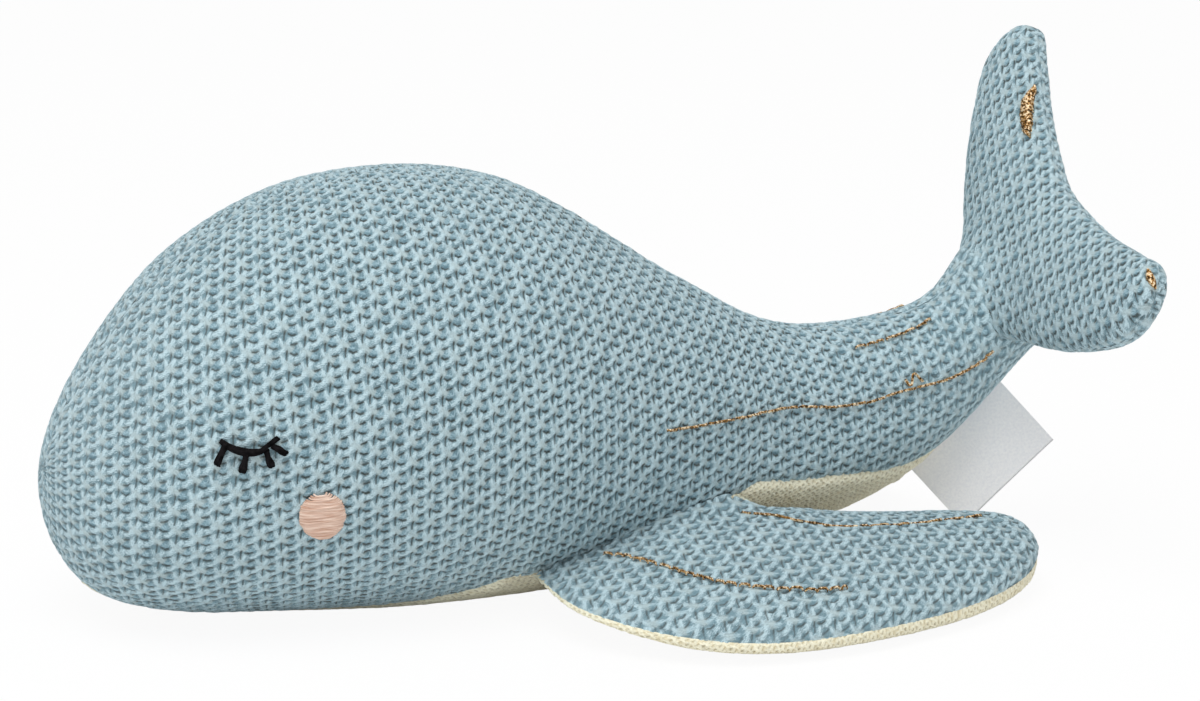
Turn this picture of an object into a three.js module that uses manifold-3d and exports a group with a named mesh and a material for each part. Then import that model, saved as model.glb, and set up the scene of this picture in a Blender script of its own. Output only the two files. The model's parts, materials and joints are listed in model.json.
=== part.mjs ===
// Knitted whale: a stuffed toy of moss-stitch side panels, a cream belly gusset, flat stuffed fins,
// a two-lobed tail fluke, embroidered face and lines, and a folded label in the under-tail seam.
// Millimetres and degrees, +Z up, head towards -X, the whale's left side towards -Y.
import * as THREE from 'three';
import { mergeVertices } from 'three/addons/utils/BufferGeometryUtils.js';
import Module from 'manifold-3d';

const wasm = await Module();
wasm.setup();

// Clearances and walls
const clearance = 0.3;
const jointClearance = 0.5;
const knitThickness = 2.4;
const finKnitThickness = 2.0;
const flukeKnitThickness = 2.0;

// Body: nose to the back of the under-tail, table to crown, flank to flank
const bodyLength = 270.5;
const bodyHeight = 111.5;
const bodyBreadth = 112;
const sectionPower = 2.15;
const sectionPear = 0.08;
const restCut = 0.3;

// Fins: length along the body, reach out from the root, swell above and below the rim seam
const finLength = 106;
const finReach = 62.5;
const finTopSwell = 8.5;
const finUnderSwell = 8;
const finRootSwell = 1.4;
const finRimTwist = 7;
const finFullChord = 54;
const finDroop = 21;
const finSwing = [-15, 35];

// Fluke: tip to tip, root line to tips, swell each side, and how it sits on the tail
const flukeSpan = 120;
const flukeChord = 50.5;
const flukeSwell = 8.5;
const flukeFullChord = 48;
const flukePitch = 70;
const flukeRoll = 29;
const flukeYaw = 5;
const flukeStandOff = 6.4;
const flukeFaceOffset = 3.5;
const flukeSwing = [-20, 35];

// Embroidery, label and sewing thread
const eyeThread = 1.6;
const goldThread = 1.2;
const cheekDiameter = 12.4;
const satinThickness = 1;
const labelReach = 23.5;
const labelThickness = 0.9;
const labelFoldRadius = 0.3;
const seamThread = 1;
const seamDepth = 1.2;

// Profile of the body, nose first: top x and z, bottom x and z as shares of length and height,
// then the breadth of the section against its height
const profile = [
  [0.000, 0.368, 0.000, 0.368, 0.97],
  [0.052, 0.632, 0.018, 0.130, 0.97],
  [0.146, 0.870, 0.092, 0.027, 1.00],
  [0.277, 1.000, 0.272, -0.004, 1.00],
  [0.447, 0.973, 0.433, -0.005, 0.98],
  [0.628, 0.713, 0.555, 0.013, 0.95],
  [0.741, 0.578, 0.769, 0.099, 0.93],
  [0.871, 0.596, 0.896, 0.242, 0.94],
  [0.932, 0.691, 1.000, 0.475, 0.97],
];

// Belly seam: station along the body and angle from the crown of the back
const bellySeam = [
  [0.160, 179.4], [0.230, 175], [0.300, 171], [0.360, 166], [0.412, 159], [0.455, 149], [0.495, 137.4],
  [0.580, 122], [0.669, 106], [0.720, 110], [0.763, 116.5], [0.812, 132], [0.860, 153], [0.905, 179.2],
];

// Where the fin's root is caught in the belly seam, front and rear
const finRootFront = [0.495, 137.4];
const finRootRear = [0.669, 106];

// Fin rim between the two root ends: share of length back from the root's middle, share of reach
// out, share of the twist up
const finRim = [
  [-0.270, 0.453, -0.03], [-0.135, 0.802, 0.64], [0.069, 0.990, 1.00], [0.343, 1.015, 1.09],
  [0.642, 0.908, 0.76], [0.868, 0.712, 0.30],
  [0.998, 0.434, -0.17],
  [0.988, 0.186, -0.49], [0.862, 0.086, -0.53], [0.692, 0.062, -0.30], [0.550, 0.045, -0.06],
  [0.438, 0.022, 0.20], [0.353, 0.008, 0.49],
];

// Fluke rim from the far tip along the leading edge to the near tip and back along the trailing
// edge: share of half the span, share of the chord
const flukeRim = [
  [1.000, 0.871], [1.000, 0.594], [0.808, 0.317], [0.550, 0.079], [0.292, -0.079], [0.000, -0.119],
  [-0.292, -0.079], [-0.550, 0.079], [-0.808, 0.317], [-1.000, 0.594],
  [-1.000, 0.871], [-0.883, 1.000], [-0.717, 0.941], [-0.483, 0.832], [-0.225, 0.752], [0.000, 0.713],
  [0.225, 0.752], [0.483, 0.832], [0.717, 0.941], [0.883, 1.000],
];

// Embroidery as station and angle on the body, the fin or the fluke
const eyeLid = [[0.257, 84.3], [0.269, 87.0], [0.280, 88.5], [0.289, 88.8], [0.293, 88.0], [0.302, 86.3]];
const eyeLashes = [
  [[0.262, 86.0], [0.256, 90.3]],
  [[0.279, 88.8], [0.277, 93.0]],
  [[0.293, 88.8], [0.298, 92.8]],
  [[0.297, 88.0], [0.308, 90.3]],
];
const cheekSpot = [0.334, 107.8];
const flankLong = [
  [0.599, 84.3], [0.627, 80.8], [0.681, 75.0], [0.716, 72.0], [0.749, 73.5], [0.776, 75.0], [0.800, 75.5],
  [0.826, 76.0], [0.850, 79.0], [0.875, 83.3], [0.907, 88.3], [0.936, 92.5], [0.952, 94.8],
];
const flankShort = [[0.798, 37.0], [0.826, 36.0], [0.856, 34.5], [0.888, 31.8]];
const finFrontLine = [
  [0.090, 72.0], [0.140, 72.4], [0.184, 71.5], [0.241, 69.6], [0.281, 66.9], [0.338, 64.2], [0.398, 64.2],
  [0.448, 62.4], [0.492, 60.6], [0.532, 59.7],
];
const finRearLine = [
  [0.151, 131.0], [0.264, 127.5], [0.334, 121.2], [0.391, 119.4], [0.448, 115.8], [0.502, 114.9],
  [0.562, 114.9], [0.602, 114.0], [0.639, 114.0], [0.679, 115.8], [0.726, 117.0], [0.773, 119.0],
];
// Crescents: station, then the angles of the two edges
const farCrescent = [
  [0.269, 160.0, 162.0], [0.289, 141.0, 157.0], [0.308, 137.5, 153.0], [0.326, 136.5, 151.0],
  [0.345, 138.0, 147.0], [0.362, 140.5, 142.0],
];
const nearCrescent = [
  [0.908, 146.0, 148.0], [0.922, 137.0, 153.0], [0.936, 134.0, 157.0], [0.948, 135.0, 158.0],
  [0.958, 140.0, 156.0], [0.966, 147.0, 150.0],
];
const labelStations = [0.848, 0.962];

const rad = THREE.MathUtils.degToRad;
const vec = (x, y, z) => new THREE.Vector3(x, y, z);
const spline = (points, closed = false) => new THREE.CatmullRomCurve3(points, closed, 'catmullrom', 0.5);
const powCos = (a, p) => Math.sign(Math.cos(a)) * Math.pow(Math.abs(Math.cos(a)), 2 / p);
const powSin = (a, p) => Math.sign(Math.sin(a)) * Math.pow(Math.abs(Math.sin(a)), 2 / p);

// Closed geometry from points and triangles, shared points merged, faces outward
function closed(points, triangles) {
  const flat = [];
  for (const tri of triangles) {
    for (const i of tri) {
      flat.push(points[i].x, points[i].y, points[i].z);
    }
  }
  const raw = new THREE.BufferGeometry();
  raw.setAttribute('position', new THREE.Float32BufferAttribute(flat, 3));
  const merged = mergeVertices(raw, 1e-4);
  const pos = merged.getAttribute('position');
  const index = merged.getIndex().array;
  const kept = [];
  let volume = 0;
  const a = vec(0, 0, 0);
  const b = vec(0, 0, 0);
  const c = vec(0, 0, 0);
  for (let i = 0; i < index.length; i += 3) {
    const [p, q, r] = [index[i], index[i + 1], index[i + 2]];
    if (p === q || q === r || r === p) {
      continue;
    }
    kept.push(p, q, r);
    a.fromBufferAttribute(pos, p);
    b.fromBufferAttribute(pos, q);
    c.fromBufferAttribute(pos, r);
    volume += a.dot(b.cross(c)) / 6;
  }
  if (volume < 0) {
    for (let i = 0; i < kept.length; i += 3) {
      [kept[i + 1], kept[i + 2]] = [kept[i + 2], kept[i + 1]];
    }
  }
  const out = new THREE.BufferGeometry();
  out.setAttribute('position', pos);
  out.setIndex(kept);
  return out;
}

// Solid through closed rings of points, each end drawn to a point
function ringSolid(rings, first, last) {
  const n = rings[0].length;
  const points = rings.flat();
  const tris = [];
  for (let i = 0; i + 1 < rings.length; i += 1) {
    for (let j = 0; j < n; j += 1) {
      const k = (j + 1) % n;
      tris.push([i * n + j, i * n + k, (i + 1) * n + k], [i * n + j, (i + 1) * n + k, (i + 1) * n + j]);
    }
  }
  const middle = (ring) => ring.reduce((s, p) => s.add(p), vec(0, 0, 0)).divideScalar(ring.length);
  const ends = [first ?? middle(rings[0]), last ?? middle(rings[rings.length - 1])];
  points.push(ends[0], ends[1]);
  const base = (rings.length - 1) * n;
  for (let j = 0; j < n; j += 1) {
    const k = (j + 1) % n;
    tris.push([k, j, points.length - 2], [base + j, base + k, points.length - 1]);
  }
  return closed(points, tris);
}

// Dish between an outer and an inner grid of points, closed along its rim
function dishSolid(outer, inner) {
  const rows = outer.length;
  const cols = outer[0].length;
  const points = [...outer.flat(), ...inner.flat()];
  const shift = rows * cols;
  const tris = [];
  const quad = (a, b, c, d) => tris.push([a, b, c], [a, c, d]);
  for (let i = 0; i + 1 < rows; i += 1) {
    for (let j = 0; j + 1 < cols; j += 1) {
      const a = i * cols + j;
      quad(a, a + 1, a + cols + 1, a + cols);
      quad(shift + a, shift + a + cols, shift + a + cols + 1, shift + a + 1);
    }
    const e = i * cols;
    const f = i * cols + cols - 1;
    quad(e, e + cols, shift + e + cols, shift + e);
    quad(f, shift + f, shift + f + cols, f + cols);
  }
  for (let j = 0; j + 1 < cols; j += 1) {
    const g = (rows - 1) * cols + j;
    quad(j, shift + j, shift + j + 1, j + 1);
    quad(g, g + 1, shift + g + 1, shift + g);
  }
  return closed(points, tris);
}

// Round thread along points
function thread(path, radius, sides = 6) {
  const rings = [];
  let normal = null;
  for (let i = 0; i < path.length; i += 1) {
    const before = path[Math.max(i - 1, 0)];
    const after = path[Math.min(i + 1, path.length - 1)];
    const along = after.clone().sub(before).normalize();
    if (normal === null) {
      const helper = Math.abs(along.z) < 0.8 ? vec(0, 0, 1) : vec(0, 1, 0);
      normal = helper.cross(along).normalize();
    }
    normal = normal.sub(along.clone().multiplyScalar(normal.dot(along))).normalize();
    const side = along.clone().cross(normal);
    const ring = [];
    for (let j = 0; j < sides; j += 1) {
      const a = 2 * Math.PI * j / sides;
      const out = normal.clone().multiplyScalar(Math.cos(a)).add(side.clone().multiplyScalar(Math.sin(a)));
      ring.push(path[i].clone().add(out.multiplyScalar(radius)));
    }
    rings.push(ring);
    normal = normal.clone();
  }
  return ringSolid(rings);
}

function toSolid(geometry) {
  const pos = geometry.getAttribute('position').array;
  const mesh = new wasm.Mesh({
    numProp: 3,
    vertProperties: new Float32Array(pos),
    triVerts: new Uint32Array(geometry.getIndex().array),
  });
  return new wasm.Manifold(mesh);
}

function toGeometry(solid) {
  const mesh = solid.getMesh();
  const out = new THREE.BufferGeometry();
  out.setAttribute('position', new THREE.Float32BufferAttribute(mesh.vertProperties, 3));
  out.setIndex(new THREE.Uint32BufferAttribute(mesh.triVerts, 1));
  return out;
}

function boxSolid(size, centre) {
  const box = new THREE.BoxGeometry(size.x, size.y, size.z);
  box.deleteAttribute('normal');
  box.deleteAttribute('uv');
  box.translate(centre.x, centre.y, centre.z);
  return toSolid(mergeVertices(box, 1e-4));
}

// Body surface
const topRail = profile.map((r) => vec(r[0] * bodyLength, 0, r[1] * bodyHeight));
const bottomRail = profile.slice(1).map((r) => vec(r[2] * bodyLength, 0, r[3] * bodyHeight));
const bodyOutline = spline([...bottomRail.slice().reverse(), ...topRail]);
const breadthCurve = spline(profile.map((r) => vec(r[4] * bodyBreadth / bodyHeight, 0, 0)));

function bodySection(s) {
  const top = bodyOutline.getPoint(0.5 + 0.5 * s);
  const bottom = bodyOutline.getPoint(0.5 - 0.5 * s);
  const mid = top.clone().add(bottom).multiplyScalar(0.5);
  const half = top.clone().sub(bottom).multiplyScalar(0.5);
  return { mid, half, rise: half.length(), aspect: breadthCurve.getPoint(s).x };
}

// Point at station s and angle a from the crown, drawn in from the surface by inset
function bodyPoint(s, a, side, inset = 0) {
  const { mid, half, rise, aspect } = bodySection(s);
  const up = powCos(a, sectionPower);
  const out = powSin(a, sectionPower);
  const p = mid.clone().add(half.clone().multiplyScalar(up * (rise - inset) / rise));
  p.y = side * Math.max(aspect * rise - inset, 0) * out * (1 - sectionPear * up);
  if (inset > 0) {
    p.z = Math.max(p.z, restCut + inset);
  }
  return p;
}

function normalOf(point, s, a) {
  const ds = point(s + 0.002, a).sub(point(s - 0.002, a));
  const da = point(s, a + 0.01).sub(point(s, a - 0.01));
  return ds.cross(da).normalize();
}

function bodyLift(s, degrees, side, lift) {
  const at = (u, w) => bodyPoint(u, w, side);
  const p = at(s, rad(degrees));
  const n = normalOf(at, s, rad(degrees));
  const { mid } = bodySection(s);
  if (n.dot(p.clone().sub(mid)) < 0) {
    n.negate();
  }
  return p.add(n.multiplyScalar(lift));
}

const tail = bodySection(1);
const tailAxis = vec(tail.half.z, 0, -tail.half.x).normalize();

// Body form drawn in by inset, from station first to the rounded tail end
function bodySolid(stations, around, inset, roundEnd) {
  const rings = [];
  for (const s of stations) {
    const ring = [];
    for (let j = 0; j < around; j += 1) {
      ring.push(bodyPoint(s, 2 * Math.PI * j / around, -1, inset));
    }
    rings.push(ring);
  }
  if (roundEnd) {
    const rim = rings[rings.length - 1];
    const reach = tail.rise - inset;
    for (const q of [22, 45, 68]) {
      rings.push(rim.map((p) => {
        const in1 = p.clone().sub(tail.mid).multiplyScalar(Math.cos(rad(q)));
        return in1.add(tail.mid).add(tailAxis.clone().multiplyScalar(reach * Math.sin(rad(q))));
      }));
    }
    return ringSolid(rings, null, tail.mid.clone().add(tailAxis.clone().multiplyScalar(reach)));
  }
  return ringSolid(rings);
}

function stationsFrom(first, last, count) {
  const list = [];
  for (let i = 0; i <= count; i += 1) {
    list.push(first + (last - first) * i / count);
  }
  return list;
}

const noseStations = [0.003, 0.012, 0.028, 0.05, 0.078, 0.11];
const bodyFacets = 28;
const outerStations = [...noseStations, ...stationsFrom(0.145, 1, 20)];
const bodyOuter = toSolid(bodySolid(outerStations, bodyFacets, 0, true));
const innerStations = [0.06, 0.09, ...stationsFrom(0.13, 1, 14)];
const bodyInner = toSolid(bodySolid(innerStations, 20, knitThickness, true));
const floorBox = vec(3 * bodyLength, 3 * bodyBreadth, bodyHeight);
const belowRest = boxSolid(floorBox, vec(bodyLength / 2, 0, restCut - bodyHeight / 2));
const bodyShell = bodyOuter.subtract(bodyInner).subtract(belowRest);

// The space that the body takes from a piece on a hinge, over the whole swing of that hinge
const bodyGrown = bodySolid(outerStations, bodyFacets, -jointClearance, true);
function clearOfBody(geometry, pivot, axis, swing) {
  const step = 28;
  const count = Math.ceil((swing[1] - swing[0]) / step);
  let solid = toSolid(geometry);
  for (const degrees of [0, ...stationsFrom(swing[0], swing[1], count)]) {
    const turned = bodyGrown.clone();
    turned.translate(-pivot.x, -pivot.y, -pivot.z);
    turned.applyQuaternion(new THREE.Quaternion().setFromAxisAngle(axis, rad(-degrees)));
    turned.translate(pivot.x, pivot.y, pivot.z);
    solid = solid.subtract(toSolid(turned));
  }
  return toGeometry(solid);
}

// Belly seam and the wedge below it
const seamCurve = spline(bellySeam.map((p) => vec(p[0], p[1], 0)));
const seamPoints = seamCurve.getPoints(150);
function seamAngle(s) {
  for (let i = 0; i + 1 < seamPoints.length; i += 1) {
    const p = seamPoints[i];
    const q = seamPoints[i + 1];
    if (s <= q.x) {
      return p.y + (q.y - p.y) * (s - p.x) / (q.x - p.x);
    }
  }
  return seamPoints[seamPoints.length - 1].y;
}

function bellyWedge(gap) {
  const first = bellySeam[0][0];
  const last = bellySeam[bellySeam.length - 1][0];
  const rings = [];
  for (const s of stationsFrom(first, last, 24)) {
    const { mid, rise } = bodySection(s);
    const slack = THREE.MathUtils.radToDeg(gap / rise);
    const from = Math.min(seamAngle(s) - slack, 179.9);
    const ring = [mid.clone()];
    for (let j = 0; j <= 8; j += 1) {
      const a = rad(from + (360 - 2 * from) * j / 8);
      ring.push(bodyPoint(s, a, -1).sub(mid).multiplyScalar(1.2).add(mid));
    }
    rings.push(ring);
  }
  return toSolid(ringSolid(rings));
}

const boxSize = vec(3 * bodyLength, 3 * bodyBreadth, 3 * bodyHeight);
const leftHalf = boxSolid(boxSize, vec(bodyLength / 2, -boxSize.y / 2 - clearance / 2, 0));
const rightHalf = boxSolid(boxSize, vec(bodyLength / 2, boxSize.y / 2 + clearance / 2, 0));
const wideWedge = bellyWedge(clearance / 2);
const leftPanel = bodyShell.intersect(leftHalf).subtract(wideWedge);
const rightPanel = bodyShell.intersect(rightHalf).subtract(wideWedge);
const bellyGusset = bodyShell.intersect(bellyWedge(-clearance / 2));

// Stuffing leaves room for the sewing thread along the seams
const stuffingInset = knitThickness + seamDepth + seamThread + 3 * clearance;
const bodyStuffing = bodySolid([0.09, 0.12, ...stationsFrom(0.16, 0.985, 17)], 18, stuffingInset, false);

function bodySeam(stations, angle) {
  const inset = knitThickness + seamDepth + seamThread / 2;
  return thread(stations.map((s) => bodyPoint(s, rad(angle(s)), -1, inset)), seamThread / 2, 4);
}
function bellySeamThread(side) {
  const inset = knitThickness + seamDepth + seamThread / 2;
  const path = stationsFrom(0.2, 0.87, 24).map((s) => bodyPoint(s, rad(seamAngle(s)), side, inset));
  return thread(path, seamThread / 2, 4);
}

// Flat stuffed forms: a rim, a face direction, and swells above and below the rim
function stuffedForm(form) {
  const { rim, looped, face, above, below, fullChord, ease } = form;
  const edges = (s) => [rim.getPoint(0.5 * s), rim.getPoint(looped ? (1 - 0.5 * s) % 1 : 1 - 0.5 * s)];
  function section(s) {
    const [lead, trail] = edges(s);
    const mid = lead.clone().add(trail).multiplyScalar(0.5);
    const half = lead.clone().sub(trail).multiplyScalar(0.5);
    const chord = half.length();
    const fill = Math.sin(Math.PI / 2 * Math.min(2 * chord / fullChord, 1)) * ease(s);
    return { mid, half, chord, fill };
  }
  // a runs from 0 at the leading rim over the top to 180 at the trailing rim, and on below
  function point(s, a, rimInset = 0, faceInset = 0, gap = 0) {
    const { mid, half, chord, fill } = section(s);
    const shrink = chord > 1e-6 ? Math.max(chord - rimInset, 0) / chord : 0;
    const out = powSin(a, sectionPower);
    const top = Math.sin(a) >= 0;
    const swell = Math.max((top ? above : below) * fill - faceInset, 0);
    const p = mid.clone().add(half.multiplyScalar(powCos(a, sectionPower) * shrink));
    return p.add(face.clone().multiplyScalar(swell * out + gap));
  }
  return { section, point, rim, face, looped, shape: form };
}

// Station where the form's middle line is a distance in from an end
function stationAt(form, from, to, distance) {
  const start = form.section(from).mid;
  for (let i = 1; i <= 400; i += 1) {
    const s = from + (to - from) * i / 400;
    if (form.section(s).mid.distanceTo(start) >= distance) {
      return s;
    }
  }
  return to;
}

// One knitted face of a flat form, as a dish that meets the other at the rim seam
function facePanel(form, top, wall, rows, cols) {
  const sign = top ? 1 : -1;
  const gap = sign * clearance / 2;
  const angle = (j) => sign * Math.PI * j / cols;
  const grid = (stations, rimInset, faceInset) => stations.map((s) => {
    const row = [];
    for (let j = 0; j <= cols; j += 1) {
      row.push(form.point(s, angle(j), rimInset, faceInset, gap));
    }
    return row;
  });
  const flatRow = (s) => Array.from({ length: cols + 1 }, () => {
    return form.section(s).mid.clone().add(form.face.clone().multiplyScalar(gap));
  });
  const last = stationAt(form, 1, 0, wall);
  if (form.looped) {
    const first = stationAt(form, 0, 1, wall);
    const outer = grid(stationsFrom(0, 1, rows + 2), 0, 0);
    const inner = [flatRow(first), ...grid(stationsFrom(first, last, rows), wall, wall), flatRow(last)];
    return dishSolid(outer, inner);
  }
  const outer = grid(stationsFrom(0, 1, rows + 1), 0, 0);
  const inner = [...grid(stationsFrom(0, last, rows), wall, wall), flatRow(last)];
  return dishSolid(outer, inner);
}

// Rim of a flat form drawn in towards its middle by a distance square to the rim
function drawnIn(form, from, to, inset, count) {
  const wrap = (u) => form.looped ? ((u % 1) + 1) % 1 : THREE.MathUtils.clamp(u, 0, 1);
  const middle = form.section(0.5).mid;
  const points = [];
  for (let i = 0; i <= count; i += 1) {
    const u = from + (to - from) * i / count;
    const p = form.rim.getPoint(wrap(u));
    const run = form.rim.getPoint(wrap(u + 0.004)).sub(form.rim.getPoint(wrap(u - 0.004)));
    points.push([p, run.cross(form.face).normalize()]);
  }
  const [p, inward] = points[Math.floor(count / 2)];
  const sign = inward.dot(middle.sub(p)) < 0 ? -1 : 1;
  return points.map(([q, n]) => q.clone().add(n.multiplyScalar(sign * inset)));
}

// Stuffing of a flat form, clear of the knitted faces and of the thread inside the rim
function formStuffing(form, wall, from, rows, around) {
  const inset = wall + seamThread + 5 * clearance;
  const faceInset = wall + 2 * clearance;
  const count = form.looped ? 20 : 16;
  const line = drawnIn(form, from, form.looped ? 1 + from : 1 - from, inset, count);
  const core = stuffedForm({
    ...form.shape,
    rim: spline(form.looped ? line.slice(0, count) : line, form.looped),
    fullChord: form.shape.fullChord - 2 * inset,
    ease: (s) => form.shape.ease(form.looped ? s : 2 * from + (1 - 2 * from) * s),
  });
  const thin = (s) => core.section(s).fill * form.shape.below - faceInset < 0.8;
  let first = 0;
  let last = 1;
  while (thin(first)) {
    first += 0.005;
  }
  while (thin(last)) {
    last -= 0.005;
  }
  const rings = stationsFrom(first, last, rows).map((s) => {
    const ring = [];
    for (let j = 0; j < around; j += 1) {
      ring.push(core.point(s, 2 * Math.PI * j / around, 0, faceInset));
    }
    return ring;
  });
  return ringSolid(rings);
}

// Sewing thread just inside the rim
function rimThread(form, from, to, wall, steps) {
  const inset = wall + 3 * clearance + seamThread / 2;
  return thread(drawnIn(form, from, to, inset, steps), seamThread / 2, 4);
}

function formLift(form, s, degrees, lift) {
  const at = (u, w) => form.point(u, w);
  const p = at(s, rad(degrees));
  const n = normalOf(at, s, rad(degrees));
  if (n.dot(form.face) < 0) {
    n.negate();
  }
  return p.add(n.multiplyScalar(lift));
}

// Patch along stations, between two edges, from one height above a surface to another
function patch(stations, lift, low, high) {
  const rings = stations.map(([s, a, b], i) => {
    const end = i === 0 || i === stations.length - 1;
    const crown = end ? 0.6 * high + 0.4 * low : high;
    const c = (a + b) / 2;
    return [lift(s, a, low), lift(s, c, low), lift(s, b, low), lift(s, b, 0.5 * (low + crown)),
      lift(s, c, crown), lift(s, a, 0.5 * (low + crown))];
  });
  return ringSolid(rings);
}

function stitchedLine(points, lift, steps) {
  const path = spline(points.map((p) => vec(p[0], p[1], 0))).getPoints(steps);
  return thread(path.map((p) => lift(p.x, p.y, goldThread / 2 + clearance)), goldThread / 2, 5);
}

function makeFin(side) {
  const front = bodyLift(finRootFront[0], finRootFront[1], side, clearance);
  const rear = bodyLift(finRootRear[0], finRootRear[1], side, clearance);
  const root = front.clone().add(rear).multiplyScalar(0.5);
  const along = rear.clone().sub(front).setZ(0).normalize();
  const out = vec(0, side * Math.cos(rad(finDroop)), -Math.sin(rad(finDroop)));
  out.sub(along.clone().multiplyScalar(out.dot(along))).normalize();
  const face = along.clone().cross(out).normalize();
  if (face.z < 0) {
    face.negate();
  }
  const rimPoints = finRim.map(([a, b, c]) => {
    const p = root.clone().add(along.clone().multiplyScalar(a * finLength));
    p.add(out.clone().multiplyScalar(b * finReach));
    return p.add(face.clone().multiplyScalar(c * finRimTwist));
  });
  const start = finRootSwell / finTopSwell;
  const form = stuffedForm({
    rim: spline([front, ...rimPoints, rear]),
    looped: false,
    face,
    above: finTopSwell,
    below: finUnderSwell,
    fullChord: finFullChord,
    ease: (s) => Math.pow(Math.min(1, start + 2.6 * s), 0.8),
  });
  const axis = rear.clone().sub(front).multiplyScalar(side).normalize();
  return { form, root, axis };
}

function addFin(pieces, name, side) {
  const { form, root, axis } = makeFin(side);
  const cut = (geometry) => clearOfBody(geometry, root, axis, finSwing);
  const upper = cut(facePanel(form, true, finKnitThickness, 11, 8));
  const lower = cut(facePanel(form, false, finKnitThickness, 11, 8));
  const seam = rimThread(form, 0.13, 0.87, finKnitThickness, 26);
  const stuffing = cut(formStuffing(form, finKnitThickness, 0.08, 9, 12));
  const lift = (s, a, h) => formLift(form, s, a, h);
  pieces.push([`${name}_fin_upper_panel`, upper, knitBlue]);
  pieces.push([`${name}_fin_lower_panel`, lower, knitCream]);
  pieces.push([`${name}_fin_stuffing`, stuffing, wadding]);
  pieces.push([`${name}_fin_rim_thread`, seam, sewingThread]);
  pieces.push([`${name}_fin_line_front`, stitchedLine(finFrontLine, lift, 11), goldLurex]);
  pieces.push([`${name}_fin_line_rear`, stitchedLine(finRearLine, lift, 13), goldLurex]);
}

function makeFluke() {
  const pitch = rad(flukePitch);
  const roll = rad(flukeRoll);
  const yaw = rad(flukeYaw);
  const axis = vec(Math.cos(pitch), -Math.sin(pitch) * Math.sin(roll), Math.sin(pitch) * Math.cos(roll));
  const level = vec(0, Math.cos(roll), Math.sin(roll));
  const front = axis.clone().cross(level);
  const span = level.clone().multiplyScalar(Math.cos(yaw)).sub(front.multiplyScalar(Math.sin(yaw)));
  const face = axis.clone().cross(span).normalize();
  const root = tail.mid.clone().add(axis.clone().multiplyScalar(flukeStandOff));
  root.add(face.clone().multiplyScalar(flukeFaceOffset));
  const rimPoints = flukeRim.map(([a, b]) => {
    const p = root.clone().add(span.clone().multiplyScalar(a * flukeSpan / 2));
    return p.add(axis.clone().multiplyScalar(b * flukeChord));
  });
  const form = stuffedForm({
    rim: spline(rimPoints, true),
    looped: true,
    face,
    above: flukeSwell,
    below: flukeSwell,
    fullChord: flukeFullChord,
    ease: () => 1,
  });
  return { form, span };
}

function addFluke(pieces) {
  const { form, span } = makeFluke();
  const cut = (geometry) => clearOfBody(geometry, tail.mid, span, flukeSwing);
  const upper = cut(facePanel(form, true, flukeKnitThickness, 20, 8));
  const lower = cut(facePanel(form, false, flukeKnitThickness, 20, 8));
  const seam = rimThread(form, 0.14, -0.64, flukeKnitThickness, 44);
  const stuffing = cut(formStuffing(form, flukeKnitThickness, 0, 16, 12));
  const lift = (s, a, h) => formLift(form, s, a, h);
  pieces.push(['fluke_upper_panel', upper, knitBlue]);
  pieces.push(['fluke_lower_panel', lower, knitBlue]);
  pieces.push(['fluke_stuffing', stuffing, wadding]);
  pieces.push(['fluke_rim_thread', seam, sewingThread]);
  const top = clearance + satinThickness;
  pieces.push(['right_fluke_crescent', patch(farCrescent, lift, clearance, top), goldLurex]);
  pieces.push(['left_fluke_crescent', patch(nearCrescent, lift, clearance, top), goldLurex]);
}

function eyeStitching(side) {
  const height = eyeThread / 2 + clearance;
  const lift = (p) => bodyLift(p.x, p.y, side, height);
  const track = (points, steps) => spline(points.map((p) => vec(p[0], p[1], 0))).getPoints(steps).map(lift);
  let solid = toSolid(thread(track(eyeLid, 9), eyeThread / 2, 6));
  for (const lash of eyeLashes) {
    solid = solid.add(toSolid(thread(track(lash, 2), eyeThread / 2, 6)));
  }
  return toGeometry(solid);
}

// Round satin-stitched cheek, laid on the side of the head
function cheekPatch(side) {
  const [s, degrees] = cheekSpot;
  const along = bodyLift(s + 0.01, degrees, side, 0).sub(bodyLift(s - 0.01, degrees, side, 0)).divideScalar(0.02);
  const down = bodyLift(s, degrees + 2, side, 0).sub(bodyLift(s, degrees - 2, side, 0)).divideScalar(4);
  const place = (r, a, h) => {
    const u = r * Math.cos(a);
    const w = r * Math.sin(a);
    const skew = along.dot(down) / along.length();
    const dDown = w / Math.sqrt(down.lengthSq() - skew * skew);
    const dAlong = (u - dDown * skew) / along.length();
    return bodyLift(s + dAlong, degrees + dDown, side, h);
  };
  const r = cheekDiameter / 2;
  const levels = [[0.5, 0], [1, 0], [1, 0.55], [0.9, 0.85], [0.5, 1]];
  const rings = levels.map(([share, height]) => {
    const ring = [];
    for (let j = 0; j < 16; j += 1) {
      ring.push(place(share * r, 2 * Math.PI * j / 16, clearance + height * satinThickness));
    }
    return ring;
  });
  return ringSolid(rings, place(0, 0, clearance), place(0, 0, clearance + satinThickness));
}

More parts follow.
